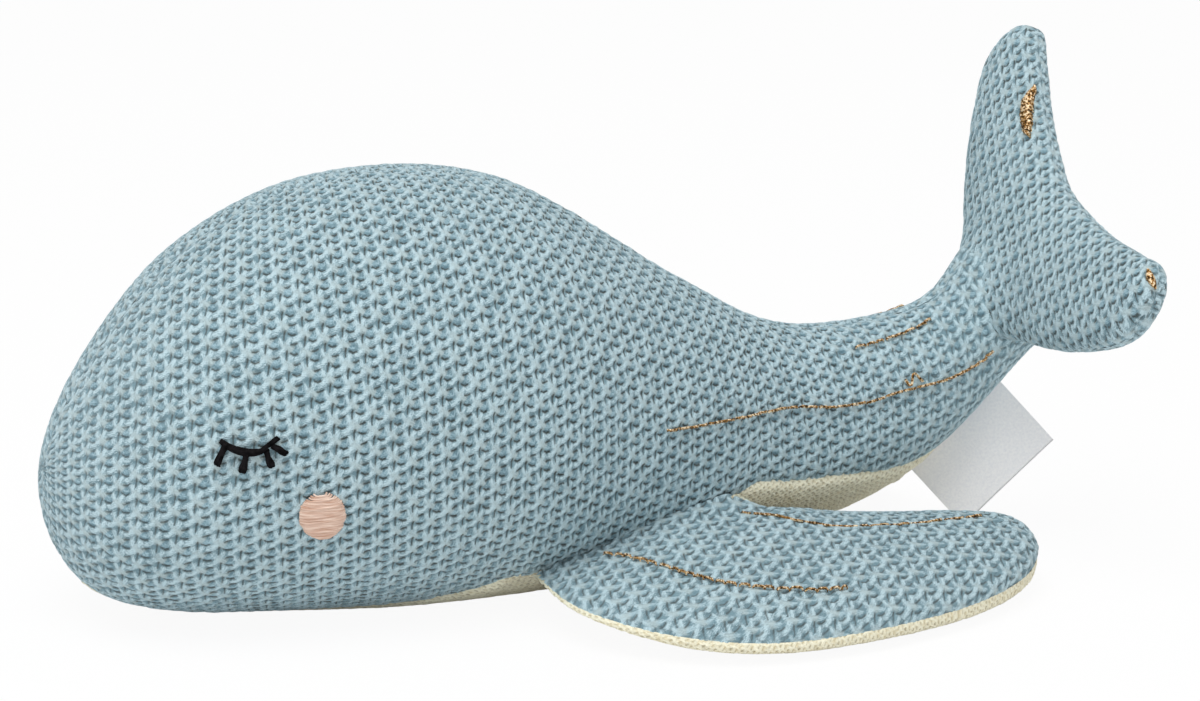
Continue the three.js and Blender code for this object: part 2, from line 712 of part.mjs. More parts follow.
// Folded label: its inner edge follows the under-tail seam, its outer edge is the pressed fold
function sewnLabel() {
  const stations = stationsFrom(labelStations[0], labelStations[1], 8);
  const seat = clearance + labelThickness / 4;
  const inner = stations.map((s) => {
    const p = bodyPoint(s, Math.PI, -1);
    const ahead = bodyPoint(s + 0.004, Math.PI, -1);
    const run = ahead.sub(bodyPoint(s - 0.004, Math.PI, -1)).normalize();
    return p.add(vec(run.z, 0, -run.x).multiplyScalar(seat));
  });
  const run = inner[inner.length - 1].clone().sub(inner[0]).normalize();
  const away = vec(run.z, 0, -run.x);
  const shape = new THREE.Shape();
  const corner0 = inner[0].clone().add(away.clone().multiplyScalar(labelReach));
  const corner1 = inner[inner.length - 1].clone().add(away.clone().multiplyScalar(labelReach));
  shape.moveTo(corner0.x, corner0.z);
  for (const p of inner) {
    shape.lineTo(p.x, p.z);
  }
  shape.lineTo(corner1.x, corner1.z);
  shape.closePath();
  const flat = new THREE.ExtrudeGeometry(shape, {
    depth: labelThickness - 2 * labelFoldRadius,
    bevelEnabled: true,
    bevelThickness: labelFoldRadius,
    bevelSize: labelFoldRadius,
    bevelOffset: -labelFoldRadius,
    bevelSegments: 1,
    steps: 1,
  });
  flat.deleteAttribute('normal');
  flat.deleteAttribute('uv');
  flat.translate(0, 0, -(labelThickness - 2 * labelFoldRadius) / 2);
  flat.rotateX(Math.PI / 2);
  return mergeVertices(flat, 1e-4);
}

const fabric = (color, roughness = 0.9, metalness = 0) => {
  return new THREE.MeshStandardMaterial({ color, roughness, metalness });
};
const knitBlue = fabric('#9db9c1');
const knitCream = fabric('#e4decb');
const wadding = fabric('#f2f1ec', 1);
const sewingThread = fabric('#a9bcc2', 0.7);
const blackThread = fabric('#1c1b1d', 0.6);
const pinkSatin = fabric('#efc0aa', 0.5);
const goldLurex = fabric('#b9762f', 0.35, 0.8);
const whiteSatin = fabric('#f1f0ef', 0.5);

const pieces = [
  ['left_side_panel', toGeometry(leftPanel), knitBlue],
  ['right_side_panel', toGeometry(rightPanel), knitBlue],
  ['belly_gusset', toGeometry(bellyGusset), knitCream],
  ['body_stuffing', bodyStuffing, wadding],
  ['dorsal_seam_thread', bodySeam(stationsFrom(0.1, 0.985, 34), () => 0), sewingThread],
  ['chin_seam_thread', bodySeam(stationsFrom(0.1, 0.15, 5), () => 180), sewingThread],
  ['undertail_seam_thread', bodySeam(stationsFrom(0.912, 0.985, 6), () => 180), sewingThread],
  ['left_belly_seam_thread', bellySeamThread(-1), sewingThread],
  ['right_belly_seam_thread', bellySeamThread(1), sewingThread],
];

for (const [name, side] of [['left', -1], ['right', 1]]) {
  const lift = (s, a, h) => bodyLift(s, a, side, h);
  pieces.push([`${name}_eye_stitching`, eyeStitching(side), blackThread]);
  pieces.push([`${name}_cheek_patch`, cheekPatch(side), pinkSatin]);
  pieces.push([`${name}_flank_line_long`, stitchedLine(flankLong, lift, 22), goldLurex]);
  pieces.push([`${name}_flank_line_short`, stitchedLine(flankShort, lift, 7), goldLurex]);
  addFin(pieces, name, side);
}
addFluke(pieces);
pieces.push(['sewn_label', sewnLabel(), whiteSatin]);

const whale = new THREE.Group();
for (const [name, geometry, material] of pieces) {
  const mesh = new THREE.Mesh(geometry, material);
  mesh.name = name;
  whale.add(mesh);
}
const bounds = new THREE.Box3().setFromObject(whale);
const centre = bounds.getCenter(vec(0, 0, 0));
whale.position.set(-centre.x, -centre.y, -bounds.min.z);

export default whale;
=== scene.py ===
import json
import math
import bpy
import numpy as np
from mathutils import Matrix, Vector
from mathutils.bvhtree import BVHTree


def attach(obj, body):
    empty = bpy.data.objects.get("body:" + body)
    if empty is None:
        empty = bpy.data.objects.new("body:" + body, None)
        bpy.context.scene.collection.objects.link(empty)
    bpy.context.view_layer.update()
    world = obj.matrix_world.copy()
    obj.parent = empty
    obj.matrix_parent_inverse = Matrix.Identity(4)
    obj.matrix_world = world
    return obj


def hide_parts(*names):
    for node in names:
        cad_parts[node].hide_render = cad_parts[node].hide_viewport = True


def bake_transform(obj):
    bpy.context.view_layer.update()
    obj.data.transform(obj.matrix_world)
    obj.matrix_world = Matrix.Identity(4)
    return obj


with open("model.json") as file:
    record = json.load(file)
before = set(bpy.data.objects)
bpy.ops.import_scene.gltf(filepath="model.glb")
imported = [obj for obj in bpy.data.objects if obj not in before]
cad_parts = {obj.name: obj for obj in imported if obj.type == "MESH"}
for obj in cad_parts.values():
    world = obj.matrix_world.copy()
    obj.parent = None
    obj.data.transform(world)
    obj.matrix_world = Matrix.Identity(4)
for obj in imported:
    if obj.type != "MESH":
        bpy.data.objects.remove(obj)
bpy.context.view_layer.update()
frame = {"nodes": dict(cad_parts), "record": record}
bpy.ops.object.select_all(action="DESELECT")
scene = bpy.context.scene
scene.view_settings.view_transform = "Standard"

mm = 0.001  # all sizes below are millimetres, meshes are metres
joints = {j["name"]: j for j in frame["record"]["behaviour"]["joints"]}
print("frame loaded:", len(frame["nodes"]), "solids")


# Curves and grids
def between(p0, p1, p2, p3, f):
    # smooth run from p1 to p2, with p0 and p3 as their neighbours
    m1 = 0.5 * (p2 - p0)
    m2 = 0.5 * (p3 - p1)
    bend = 2 * f**3 - 3 * f**2
    return (bend + 1) * p1 + (f**3 - 2 * f**2 + f) * m1 - bend * p2 + (f**3 - f**2) * m2


def throughPoints(points, u, looped=False):
    points = np.asarray(points, float)
    u = np.asarray(u, float)
    count = len(points)
    if looped:
        at = (u % 1.0) * count
        i = np.floor(at).astype(int)
        near = [points[(i + k) % count] for k in (-1, 0, 1, 2)]
    else:
        ends = np.vstack([2 * points[0] - points[1], points, 2 * points[-1] - points[-2]])
        at = np.clip(u, 0, 1) * (count - 1)
        i = np.minimum(np.floor(at).astype(int), count - 2)
        near = [ends[i + k] for k in range(4)]
    return between(*near, (at - i)[..., None])


def softCos(a, power):
    return np.sign(np.cos(a)) * np.abs(np.cos(a)) ** (2 / power)


def softSin(a, power):
    return np.sign(np.sin(a)) * np.abs(np.sin(a)) ** (2 / power)


def unit(v):
    return v / np.maximum(np.linalg.norm(v, axis=-1, keepdims=True), 1e-9)


def runLength(points, axis):
    step = np.linalg.norm(np.diff(points, axis=axis), axis=-1)
    start = np.zeros_like(np.take(step, [0], axis=axis))
    return np.cumsum(np.concatenate([start, step], axis=axis), axis=axis)


def gridNormals(points):
    along = np.gradient(points, axis=0)
    across = np.gradient(points, axis=1)
    return unit(np.cross(along, across))


def evenGrid(surface, span, spacing, fine=260):
    # rows and columns at about the same spacing all over the surface
    first, last = span
    s = np.linspace(first, last, 2 * fine)
    t = np.linspace(0, 1, fine)
    coarse = surface(s[:, None], t[None, :] + 0 * s[:, None])
    run = runLength(coarse, 0).mean(1)
    rows = int(run[-1] / spacing) + 2
    rowAt = np.interp(np.linspace(0, run[-1], rows), run, s)
    wide = runLength(coarse, 1)
    cols = int(wide[:, -1].max() / spacing) + 2
    fineRows = surface(rowAt[:, None], t[None, :] + 0 * rowAt[:, None])
    reach = runLength(fineRows, 1)
    share = np.linspace(0, 1, cols)
    tAt = np.stack([np.interp(share * r[-1], r, t) for r in reach])
    points = surface(rowAt[:, None] + 0 * tAt, tAt)
    edge = runLength(points, 1)
    return points, rowAt, tAt, edge


def quadsOf(rows, cols):
    index = np.arange(rows * cols).reshape(rows, cols)
    quads = np.stack([index[:-1, :-1], index[1:, :-1], index[1:, 1:], index[:-1, 1:]], -1)
    return index, quads.reshape(-1, 4)


def wobble(points, size, seed, waves=7):
    # smooth seeded unevenness, about -1 to 1, with lumps of the given size
    rng = np.random.default_rng(seed)
    total = np.zeros(points.shape[:-1])
    for _ in range(waves):
        way = unit(rng.normal(size=3)) * (2 * math.pi / (size * rng.uniform(0.75, 1.5)))
        total += np.sin(points @ way + rng.uniform(0, 2 * math.pi))
    return total / math.sqrt(waves / 2) / 1.6


# The body's form
whale = {
    "length": 270.5, "height": 111.5, "breadth": 112.0, "power": 2.15, "pear": 0.08, "restCut": 0.3,
    "profile": [
        [0.000, 0.368, 0.000, 0.368, 0.97], [0.052, 0.632, 0.018, 0.130, 0.97],
        [0.146, 0.870, 0.092, 0.027, 1.00], [0.277, 1.000, 0.272, -0.004, 1.00],
        [0.447, 0.973, 0.433, -0.005, 0.98], [0.628, 0.713, 0.555, 0.013, 0.95],
        [0.741, 0.578, 0.769, 0.099, 0.93], [0.871, 0.596, 0.896, 0.242, 0.94],
        [0.932, 0.691, 1.000, 0.475, 0.97],
    ],
    "bellySeam": [
        [0.160, 179.4], [0.230, 175], [0.300, 171], [0.360, 166], [0.412, 159], [0.455, 149], [0.495, 137.4],
        [0.580, 122], [0.669, 106], [0.720, 110], [0.763, 116.5], [0.812, 132], [0.860, 153], [0.905, 179.2],
    ],
    "tailCap": 0.085,  # station run of the rounded tail end
}
profile = np.array(whale["profile"])
topRail = profile[:, [0, 1]] * [whale["length"], whale["height"]]
bottomRail = profile[1:, [2, 3]] * [whale["length"], whale["height"]]
bodyOutline = np.vstack([bottomRail[::-1], topRail])
seamRun = throughPoints(whale["bellySeam"], np.linspace(0, 1, 400))


def bodySection(s):
    top = throughPoints(bodyOutline, 0.5 + 0.5 * s)
    bottom = throughPoints(bodyOutline, 0.5 - 0.5 * s)
    aspect = throughPoints(profile[:, 4:5] * whale["breadth"] / whale["height"], s)[..., 0]
    half = 0.5 * (top - bottom)
    return 0.5 * (top + bottom), half, np.linalg.norm(half, axis=-1), aspect


tailMid, tailHalf, tailRise, _ = bodySection(np.array(1.0))
tailWay = np.array([tailHalf[1], 0, -tailHalf[0]]) / tailRise
tailPlace = np.array(joints["fluke_bend"]["pos_m"]) / mm
rowShift = tailPlace - [tailMid[0], 0, tailMid[1]]


def bodyAt(s, a, side=-1, inset=0.0):
    # a point of the outer skin; stations past 1 run over the rounded tail end
    s = np.asarray(s, float)
    a = np.asarray(a, float)
    mid, half, rise, aspect = bodySection(np.clip(s, 0, 1))
    up = softCos(a, whale["power"])
    out = softSin(a, whale["power"])
    drawn = (np.maximum(rise - inset, 0) / np.maximum(rise, 1e-6))[..., None]
    inPlane = half * drawn * up[..., None]
    y = side * np.maximum(aspect * rise - inset, 0) * out * (1 - whale["pear"] * up)
    turn = np.clip((s - 1) / whale["tailCap"], 0, 1) * math.pi / 2
    x = mid[..., 0] + inPlane[..., 0] * np.cos(turn) + tailWay[0] * (tailRise - inset) * np.sin(turn)
    z = mid[..., 1] + inPlane[..., 1] * np.cos(turn) + tailWay[2] * (tailRise - inset) * np.sin(turn)
    z = np.maximum(z, whale["restCut"] + inset)
    return np.stack([x, y * np.cos(turn), z], -1) + rowShift


def seamAngle(s):
    return np.radians(np.interp(s, seamRun[:, 0], seamRun[:, 1], left=180, right=180))


def liftFrom(surface, s, a, height):
    # points at a height over a surface, with the way out
    along = surface(s + 0.002, a) - surface(s - 0.002, a)
    across = surface(s, a + 0.01) - surface(s, a - 0.01)
    n = unit(np.cross(along, across))
    return surface(s, a) + n * np.asarray(height)[..., None], n


def outwards(points, normals, middle):
    return normals if np.sum((points - middle) * normals) > 0 else -normals


# Stuffed flat forms: fins and fluke
fin = {
    "length": 106, "reach": 62.5, "over": 8.5, "under": 8.0, "rootSwell": 1.4, "twist": 7,
    "fullChord": 54, "droop": 21, "lift": 0.3, "creamEdge": 0.2, "fillRate": 2.6, "fillPower": 0.8,
    "bends": 16,  # a run from the root, out along the fin
    "rootFront": [0.495, 137.4], "rootRear": [0.669, 106],
    "rim": [
        [-0.270, 0.453, -0.03], [-0.135, 0.802, 0.64], [0.069, 0.990, 1.00], [0.343, 1.015, 1.09],
        [0.642, 0.908, 0.76], [0.868, 0.712, 0.30], [0.998, 0.434, -0.17], [0.988, 0.186, -0.49],
        [0.862, 0.086, -0.53], [0.692, 0.062, -0.30], [0.550, 0.045, -0.06], [0.438, 0.022, 0.20],
        [0.353, 0.008, 0.49],
    ],
}
fluke = {
    "span": 120, "chord": 50.5, "swell": 8.5, "fullChord": 48, "pitch": 70, "roll": 29, "yaw": 5,
    "standOff": 6.4, "faceOffset": 3.5, "bends": 24,
    "fillet": 12.0,  # the run over which tail and fluke flow together
    "rim": [
        [1.000, 0.871], [1.000, 0.594], [0.808, 0.317], [0.550, 0.079], [0.292, -0.079], [0.000, -0.119],
        [-0.292, -0.079], [-0.550, 0.079], [-0.808, 0.317], [-1.000, 0.594],
        [-1.000, 0.871], [-0.883, 1.000], [-0.717, 0.941], [-0.483, 0.832], [-0.225, 0.752], [0.000, 0.713],
        [0.225, 0.752], [0.483, 0.832], [0.717, 0.941], [0.883, 1.000],
    ],
}


class StuffedForm:
    def __init__(self, rim, looped, face, over, under, fullChord, ease):
        self.rim = np.asarray(rim)
        self.looped = looped
        self.face = face
        self.over = over
        self.under = under
        self.fullChord = fullChord
        self.ease = ease

    def at(self, s, a, rimInset=0.0, faceInset=0.0):
        s = np.asarray(s, float)
        a = np.asarray(a, float)
        lead = throughPoints(self.rim, 0.5 * s, self.looped)
        trail = throughPoints(self.rim, 1 - 0.5 * s, self.looped)
        half = 0.5 * (lead - trail)
        chord = np.linalg.norm(half, axis=-1)
        fill = np.sin(math.pi / 2 * np.minimum(2 * chord / self.fullChord, 1)) * self.ease(s)
        shrink = np.maximum(chord - rimInset, 0) / np.maximum(chord, 1e-6)
        side = np.where(np.sin(a) >= 0, self.over, self.under)
        rise = np.maximum(side * fill - faceInset, 0) * softSin(a, whale["power"])
        flat = 0.5 * (lead + trail) + half * (softCos(a, whale["power"]) * shrink)[..., None]
        return flat + self.face * rise[..., None]


def finForm(side, body):
    skin = lambda s, a: bodyAt(s, a, side)
    ends = []
    for s, a in (fin["rootFront"], fin["rootRear"]):
        p, n = liftFrom(skin, np.array(s), np.radians(a), 0.0)
        n = n if np.dot(n, p - bodyAt(np.array(s), np.radians(a), side, 20.0)) > 0 else -n
        ends.append(p + n * fin["lift"])
    front, rear = ends
    root = 0.5 * (front + rear)
    along = unit((rear - front) * [1, 1, 0])
    droop = math.radians(fin["droop"])
    out = np.array([0, side * math.cos(droop), -math.sin(droop)])
    out = unit(out - along * np.dot(out, along))
    face = unit(np.cross(along, out))
    face = face if face[2] > 0 else -face
    rim = [root + along * a * fin["length"] + out * b * fin["reach"] + face * c * fin["twist"]
           for a, b, c in fin["rim"]]
    start = fin["rootSwell"] / fin["over"]
    form = StuffedForm([front, *rim, rear], False, face, fin["over"], fin["under"], fin["fullChord"],
                       lambda s: np.minimum(1, start + fin["fillRate"] * s) ** fin["fillPower"])
    form.root, form.along, form.out = root, along, out
    form.body, form.start, form.bends = body, root, fin["bends"]
    return form


def flukeForm():
    pitch, roll, yaw = (math.radians(fluke[k]) for k in ("pitch", "roll", "yaw"))
    axis = np.array([math.cos(pitch), -math.sin(pitch) * math.sin(roll), math.sin(pitch) * math.cos(roll)])
    level = np.array([0, math.cos(roll), math.sin(roll)])
    span = level * math.cos(yaw) - np.cross(axis, level) * math.sin(yaw)
    face = unit(np.cross(axis, span))
    root = tailPlace + axis * fluke["standOff"] + face * fluke["faceOffset"]
    rim = [root + span * a * fluke["span"] / 2 + axis * b * fluke["chord"] for a, b in fluke["rim"]]
    form = StuffedForm(rim, True, face, fluke["swell"], fluke["swell"], fluke["fullChord"], lambda s: 1.0)
    form.root, form.along, form.out = root, span, axis
    form.body, form.start, form.bends = "fluke", tailPlace, fluke["bends"]
    return form


# Knitted relief. A cell of the fabric is two stitches wide and two courses high
moss = {
    "wale": (5.03, 1.70), "course": (0.15, 4.95),  # the cell's two edges on the flat panel, along and down
    "loops": [  # points along the yarn as shares of the cell and height in mm, radius, warm tint and the tint of painted shade on the sunken loop
        [[(0.16, -0.62, -0.55), (0.20, -0.46, -0.14), (0.13, -0.26, -0.05),
          (0.05, -0.06, -0.05)], 1.10, 0, 0],
        [[(-0.24, -0.42, -0.50), (-0.28, -0.26, -0.14), (-0.20, -0.12, -0.08),
          (-0.09, 0.0, -0.06)], 1.10, 0, 0],
        [[(-0.08, -0.02, -0.03), (-0.18, 0.18, -0.03), (-0.34, 0.40, -0.04), (-0.52, 0.52, -0.12),
          (-0.64, 0.56, -0.45)], 1.12, 0, 0],
        [[(-0.07, -0.02, 0.03), (0.15, 0.04, -0.02)], 1.62, 1, 0],
        [[(0.30, 0.12, -0.16), (0.46, 0.10, -0.20)], 1.10, 0, 0.8],
    ],
    "gaps": [  # where one looks down between the loops: points, radius, darkness, which sinks the hole and paints shade into it
        [[(0.02, 0.28), (-0.02, 0.42)], 0.30, 1.0], [[(-0.02, 0.42), (-0.06, 0.72)], 0.22, 0.85],
        [[(0.20, 0.34), (0.36, 0.37)], 0.31, 1.0], [[(0.36, 0.37), (0.53, 0.27)], 0.31, 1.0],
        [[(0.30, -0.13), (0.44, -0.19)], 0.28, 0.95], [[(0.44, -0.19), (0.58, -0.29)], 0.28, 0.95],
    ],
    "depth": 0.85, "soft": 0.14, "rise": 0.62, "hole": 0.32, "jitter": 0.06, "open": 1.0,
}
plain = {
    "wale": (1.9, 0.0), "course": (0.0, 1.7),
    "loops": [
        [[(-0.36, -0.42, 0.0), (-0.06, 0.42, 0.0)], 0.55, 0, 0],
        [[(0.36, -0.42, 0.0), (0.06, 0.42, 0.0)], 0.55, 0, 0],
    ],
    "gaps": [[[(0.0, -0.34), (0.0, 0.02)], 0.2, 0.75], [[(0.5, -0.2), (0.5, 0.3)], 0.15, 0.5]],
    "depth": 0.4, "soft": 0.1, "rise": 1, "hole": 0.2, "jitter": 0.05, "open": 1.0,
}


def cellsOf(flat, knit):
    (ax, ay), (bx, by) = knit["wale"], knit["course"]
    det = ax * by - ay * bx
    x, y = flat[..., 0], flat[..., 1]
    return np.stack([(x * by - y * bx) / det, (y * ax - x * ay) / det], -1)


def alongYarn(local, start, end, edges):
    # share along one piece of yarn, distance from it squared, signed distance, its length
    p = (local - start[:2]) @ edges
    d = (np.array(end[:2]) - start[:2]) @ edges
    length = math.hypot(*d)
    share = np.clip(p @ d / length**2, 0, 1)
    off = np.sum((p - share[..., None] * d) ** 2, -1)
    return share, off, (p[..., 0] * d[1] - p[..., 1] * d[0]) / length, length


def loopRelief(cells, knit, seed):
    # height of the knit in mm, and what its finish reads: tints, one of them painted shade on the sunken
    # loop, the relief, which paints shade by height, gaps and the place along the strand
    table = np.random.default_rng(seed).normal(size=(97, 89, 4))
    edges = np.array([knit["wale"], knit["course"]])
    home = np.floor(cells + 0.5)
    best = np.full(cells.shape[:-1], -knit["depth"])
    looks = {k: np.zeros(best.shape) for k in ("warm", "cool", "along", "across", "gap")}
    soft = knit["soft"]
    for da in (-1, 0, 1):
        for db in (-1, 0, 1):
            mine = home + [da, db]
            luck = table[mine[..., 0].astype(int) % 97, mine[..., 1].astype(int) % 89] * knit["jitter"]
            local = cells - mine - luck[..., :2] * 0.6
            for track, radius, warm, cool in knit["loops"]:
                r = radius * (1 + luck[..., 2])
                run = 0.0
                for start, end in zip(track[:-1], track[1:]):
                    share, off, across, length = alongYarn(local, start, end, edges)
                    up = start[2] + (end[2] - start[2]) * share + luck[..., 3]
                    up = np.where(off < r**2, up + r * (np.sqrt(np.maximum(1 - off / r**2, 0)) - 1), -9)
                    over = np.clip(0.5 + 0.5 * (up - best) / soft, 0, 1)
                    looks["warm"] += (warm - looks["warm"]) * over
                    looks["cool"] += (cool - looks["cool"]) * over
                    looks["along"] = np.where(up > best, run + share * length, looks["along"])
                    looks["across"] = np.where(up > best, across, looks["across"])
                    near = np.maximum(soft - np.abs(best - up), 0) / soft
                    best = np.maximum(best, up) + near**2 * soft / 4
                    run += length
            for track, radius, dark in knit["gaps"]:
                for start, end in zip(track[:-1], track[1:]):
                    off = alongYarn(local, start, end, edges)[1]
                    looks["gap"] = np.maximum(looks["gap"], dark * np.exp(-off / radius**2))
    looks["relief"] = np.clip(1 + best / knit["depth"], 0, 1)
    return best * knit["rise"] - looks["gap"] * knit["hole"], looks


# Meshes
def gridMesh(name, points, attributes=None, uv=None, firstPole=None, lastPole=None, flip=False):
    rows, cols = points.shape[:2]
    verts = points.reshape(-1, 3) * mm
    index, quads = quadsOf(rows, cols)
    faces = [quads]
    extra = []
    for pole, ring, turn in ((firstPole, index[0], 1), (lastPole, index[-1], -1)):
        if pole is not None:
            tip = rows * cols + len(extra)
            extra.append(np.asarray(pole) * mm)
            fan = np.stack([np.full(cols - 1, tip), ring[:-1], ring[1:]], -1)
            faces.append(fan[:, ::turn])
    if flip:
        faces = [f[:, ::-1] for f in faces]
    if extra:
        verts = np.vstack([verts, extra])
    corners = np.concatenate([f.ravel() for f in faces])
    sizes = np.concatenate([np.full(len(f), f.shape[1]) for f in faces])
    mesh = bpy.data.meshes.new(name)
    mesh.vertices.add(len(verts))
    mesh.vertices.foreach_set("co", verts.astype(np.float32).ravel())
    mesh.loops.add(len(corners))
    mesh.loops.foreach_set("vertex_index", corners.astype(np.int32))
    mesh.polygons.add(len(sizes))
    mesh.polygons.foreach_set("loop_start", (np.cumsum(sizes) - sizes).astype(np.int32))
    mesh.polygons.foreach_set("use_smooth", np.ones(len(sizes), bool))
    mesh.update(calc_edges=True)
    for key, values in (attributes or {}).items():
        data = np.concatenate([values.ravel(), np.full(len(extra), values.mean())])
        mesh.attributes.new(key, "FLOAT", "POINT").data.foreach_set("value", data.astype(np.float32))
    if uv is not None:
        pairs = np.vstack([uv.reshape(-1, 2), np.zeros((len(extra), 2))])
        layer = mesh.uv_layers.new(name="stitches")
        layer.data.foreach_set("uv", pairs[corners].astype(np.float32).ravel())
    mesh.validate()
    piece = bpy.data.objects.new(name, mesh)
    scene.collection.objects.link(piece)
    return piece


def pickOnly(piece):
    bpy.ops.object.select_all(action="DESELECT")
    piece.select_set(True)
    bpy.context.view_layer.objects.active = piece


def threadMesh(name, paths, radius, sides=3):
    # every path is one strand of a bevelled curve, turned to one mesh
    curve = bpy.data.curves.new(name, "CURVE")
    curve.dimensions = "3D"
    curve.bevel_depth = radius * mm
    curve.bevel_resolution = sides
    curve.use_fill_caps = True
    for path in paths:
        strand = curve.splines.new("POLY")
        strand.points.add(len(path) - 1)
        places = np.column_stack([np.asarray(path) * mm, np.ones(len(path))])
        strand.points.foreach_set("co", places.ravel())
        strand.use_smooth = True
    piece = bpy.data.objects.new(name, curve)
    scene.collection.objects.link(piece)
    pickOnly(piece)
    bpy.ops.object.convert(target="MESH")
    piece.select_set(False)
    return piece


# Finishes: Value wraps a socket so that sums on it add Math nodes
class Value:
    def __init__(self, finish, socket):
        self.finish = finish
        self.socket = socket

    def __add__(self, other):
        return self.finish.sums("ADD", self, other)

    def __sub__(self, other):
        return self.finish.sums("SUBTRACT", self, other)

    def __rsub__(self, other):
        return self.finish.sums("SUBTRACT", other, self)

    def __mul__(self, other):
        return self.finish.sums("MULTIPLY", self, other)

    __radd__ = __add__
    __rmul__ = __mul__


class Finish:
    def __init__(self, name, **constants):
        self.material = bpy.data.materials.new(name)
        self.material.use_nodes = True
        self.tree = self.material.node_tree
        self.shader = self.tree.nodes["Principled BSDF"]
        for key, value in constants.items():
            self.shader.inputs[key.replace("_", " ")].default_value = value

    def node(self, kind, settings=None, sockets=None, output=0):
        made = self.tree.nodes.new(kind)
        for key, value in (settings or {}).items():
            if key == "stops":
                ramp = made.color_ramp
                while len(ramp.elements) < len(value):
                    ramp.elements.new(0.5)
                for stop, (place, colour) in zip(ramp.elements, value):
                    stop.position = place
                    stop.color = (*colour, 1)
            else:
                setattr(made, key, value)
        for key, value in (sockets or {}).items():
            if isinstance(value, Value):
                self.tree.links.new(value.socket, made.inputs[key])
            else:
                made.inputs[key].default_value = value
        return Value(self, made.outputs[output])

    def sums(self, operation, a, b):
        return self.node("ShaderNodeMath", {"operation": operation}, {0: a, 1: b})

    def blend(self, factor, a, b, kind="MIX"):
        settings = {"data_type": "RGBA", "blend_type": kind, "clamp_factor": True}
        return self.node("ShaderNodeMix", settings, {0: factor, 6: a, 7: b}, 2)

    def attribute(self, name):
        return self.node("ShaderNodeAttribute", {"attribute_name": name}, None, 2)

    def place(self):
        return self.node("ShaderNodeTexCoord", None, None, 3)

    def noise(self, scale, detail=3.0, output=0):
        sockets = {"Vector": self.place(), "Scale": scale, "Detail": detail}
        return self.node("ShaderNodeTexNoise", None, sockets, output)

    def feed(self, key, value):
        self.tree.links.new(value.socket, self.shader.inputs[key])

    def bump(self, height, strength, distance):
        sockets = {"Height": height, "Strength": strength, "Distance": distance * mm}
        self.feed("Normal", self.node("ShaderNodeBump", None, sockets))


def tone(hexColour):
    # a colour as it is seen, turned to the shader's linear numbers
    parts = [int(hexColour[i:i + 2], 16) / 255 for i in (1, 3, 5)]
    return tuple(c / 12.92 if c <= 0.04045 else ((c + 0.055) / 1.055) ** 2.4 for c in parts)


def rgba(hexColour):
    return (*tone(hexColour), 1)


yarn = {  # how much each unevenness of the yarn tells in its tone, tints and bump, and how strong the painted shade is on the sunken loop and in the holes between the loops
    "twist": 9.0, "streak": 2.5, "fuzz": 0.8, "ply": 0.08, "warm": 0.5, "cool": 0.62, "gap": 0.92,
    "drift": 0.16,
}


def knitFinish(name, knit, gapShade, middle, high, warm, cool):
    f = Finish(name, Roughness=0.95, Sheen_Weight=0.15, Sheen_Roughness=0.6, Specular_IOR_Level=0.1)
    along, across = f.attribute("along"), f.attribute("across")
    lot = f.noise(200, 1.0) * 4
    strand = f.node("ShaderNodeCombineXYZ", None, {0: along * 0.5 + across * 0.4, 1: across * 1.9, 2: lot})
    streak = f.node("ShaderNodeTexNoise", None, {"Vector": strand, "Scale": 1.3, "Detail": 3.0}) - 0.5
    fuzz = f.noise(2000, 3.0) - 0.5
    ply = f.node("ShaderNodeMath", {"operation": "SINE"}, {0: (along + across * 0.9) * yarn["twist"]})
    gap = stitchGaps(f, knit) * f.attribute("open")
    # tone by relief: raised loops painted lighter and low parts darker, painted shade; streak, fuzz and ply
    # are the yarn's own unevenness
    shade = f.attribute("relief") + streak * yarn["streak"] + fuzz * yarn["fuzz"] + ply * yarn["ply"]
    stops = [(0.2, tone(middle)), (1.0, tone(high))]
    colour = f.node("ShaderNodeValToRGB", {"stops": stops}, {"Fac": shade})
    colour = f.blend(f.attribute("warm") * yarn["warm"], colour, rgba(warm))
    # painted shade: the sunken loop's colour is multiplied darker
    colour = f.blend(f.attribute("cool") * yarn["cool"], colour, rgba(cool), "MULTIPLY")
    # painted shade: the holes between the loops are blended towards the dark gap colour
    colour = f.blend(gap * yarn["gap"], colour, rgba(gapShade))
    f.feed("Base Color", colour)
    f.bump(streak * 1.5 + ply * 0.25 + fuzz * 0.8 - gap * 1.2, 0.6, 0.35)
    return f.material


def stitchGaps(f, knit):
    # painted shade in the holes between the loops, drawn sharp from the stitch map
    seat = f.node("ShaderNodeUVMap", {"uv_map": "stitches"})
    drift = f.node("ShaderNodeTexNoise", None, {"Vector": seat, "Scale": 0.9, "Detail": 1.0}, 1)
    split = [f.node("ShaderNodeSeparateXYZ", None, {0: v}, k) for v in (seat, drift) for k in (0, 1)]
    u = split[0] + (split[2] - 0.5) * yarn["drift"]
    v = split[1] + (split[3] - 0.5) * yarn["drift"]
    (ax, ay), (bx, by) = knit["wale"], knit["course"]
    gap = 0.0
    for track, radius, dark in knit["gaps"]:
        (u0, v0), (u1, v1) = track
        du = f.node("ShaderNodeMath", {"operation": "WRAP"}, {0: u - (u0 + u1) / 2, 1: 0.5, 2: -0.5})
        dv = f.node("ShaderNodeMath", {"operation": "WRAP"}, {0: v - (v0 + v1) / 2, 1: 0.5, 2: -0.5})
        x = du * ax + dv * bx
        y = du * ay + dv * by
        dx = (u1 - u0) * ax + (v1 - v0) * bx
        dy = (u1 - u0) * ay + (v1 - v0) * by
        square = dx**2 + dy**2
        share = f.node("ShaderNodeClamp", None, {0: x * (dx / square) + y * (dy / square), 1: -0.5, 2: 0.5})
        x = x - share * dx
        y = y - share * dy
        gap = f.sums("MAXIMUM", gap, f.sums("POWER", math.exp(-1 / radius**2), x * x + y * y) * dark)
    return gap


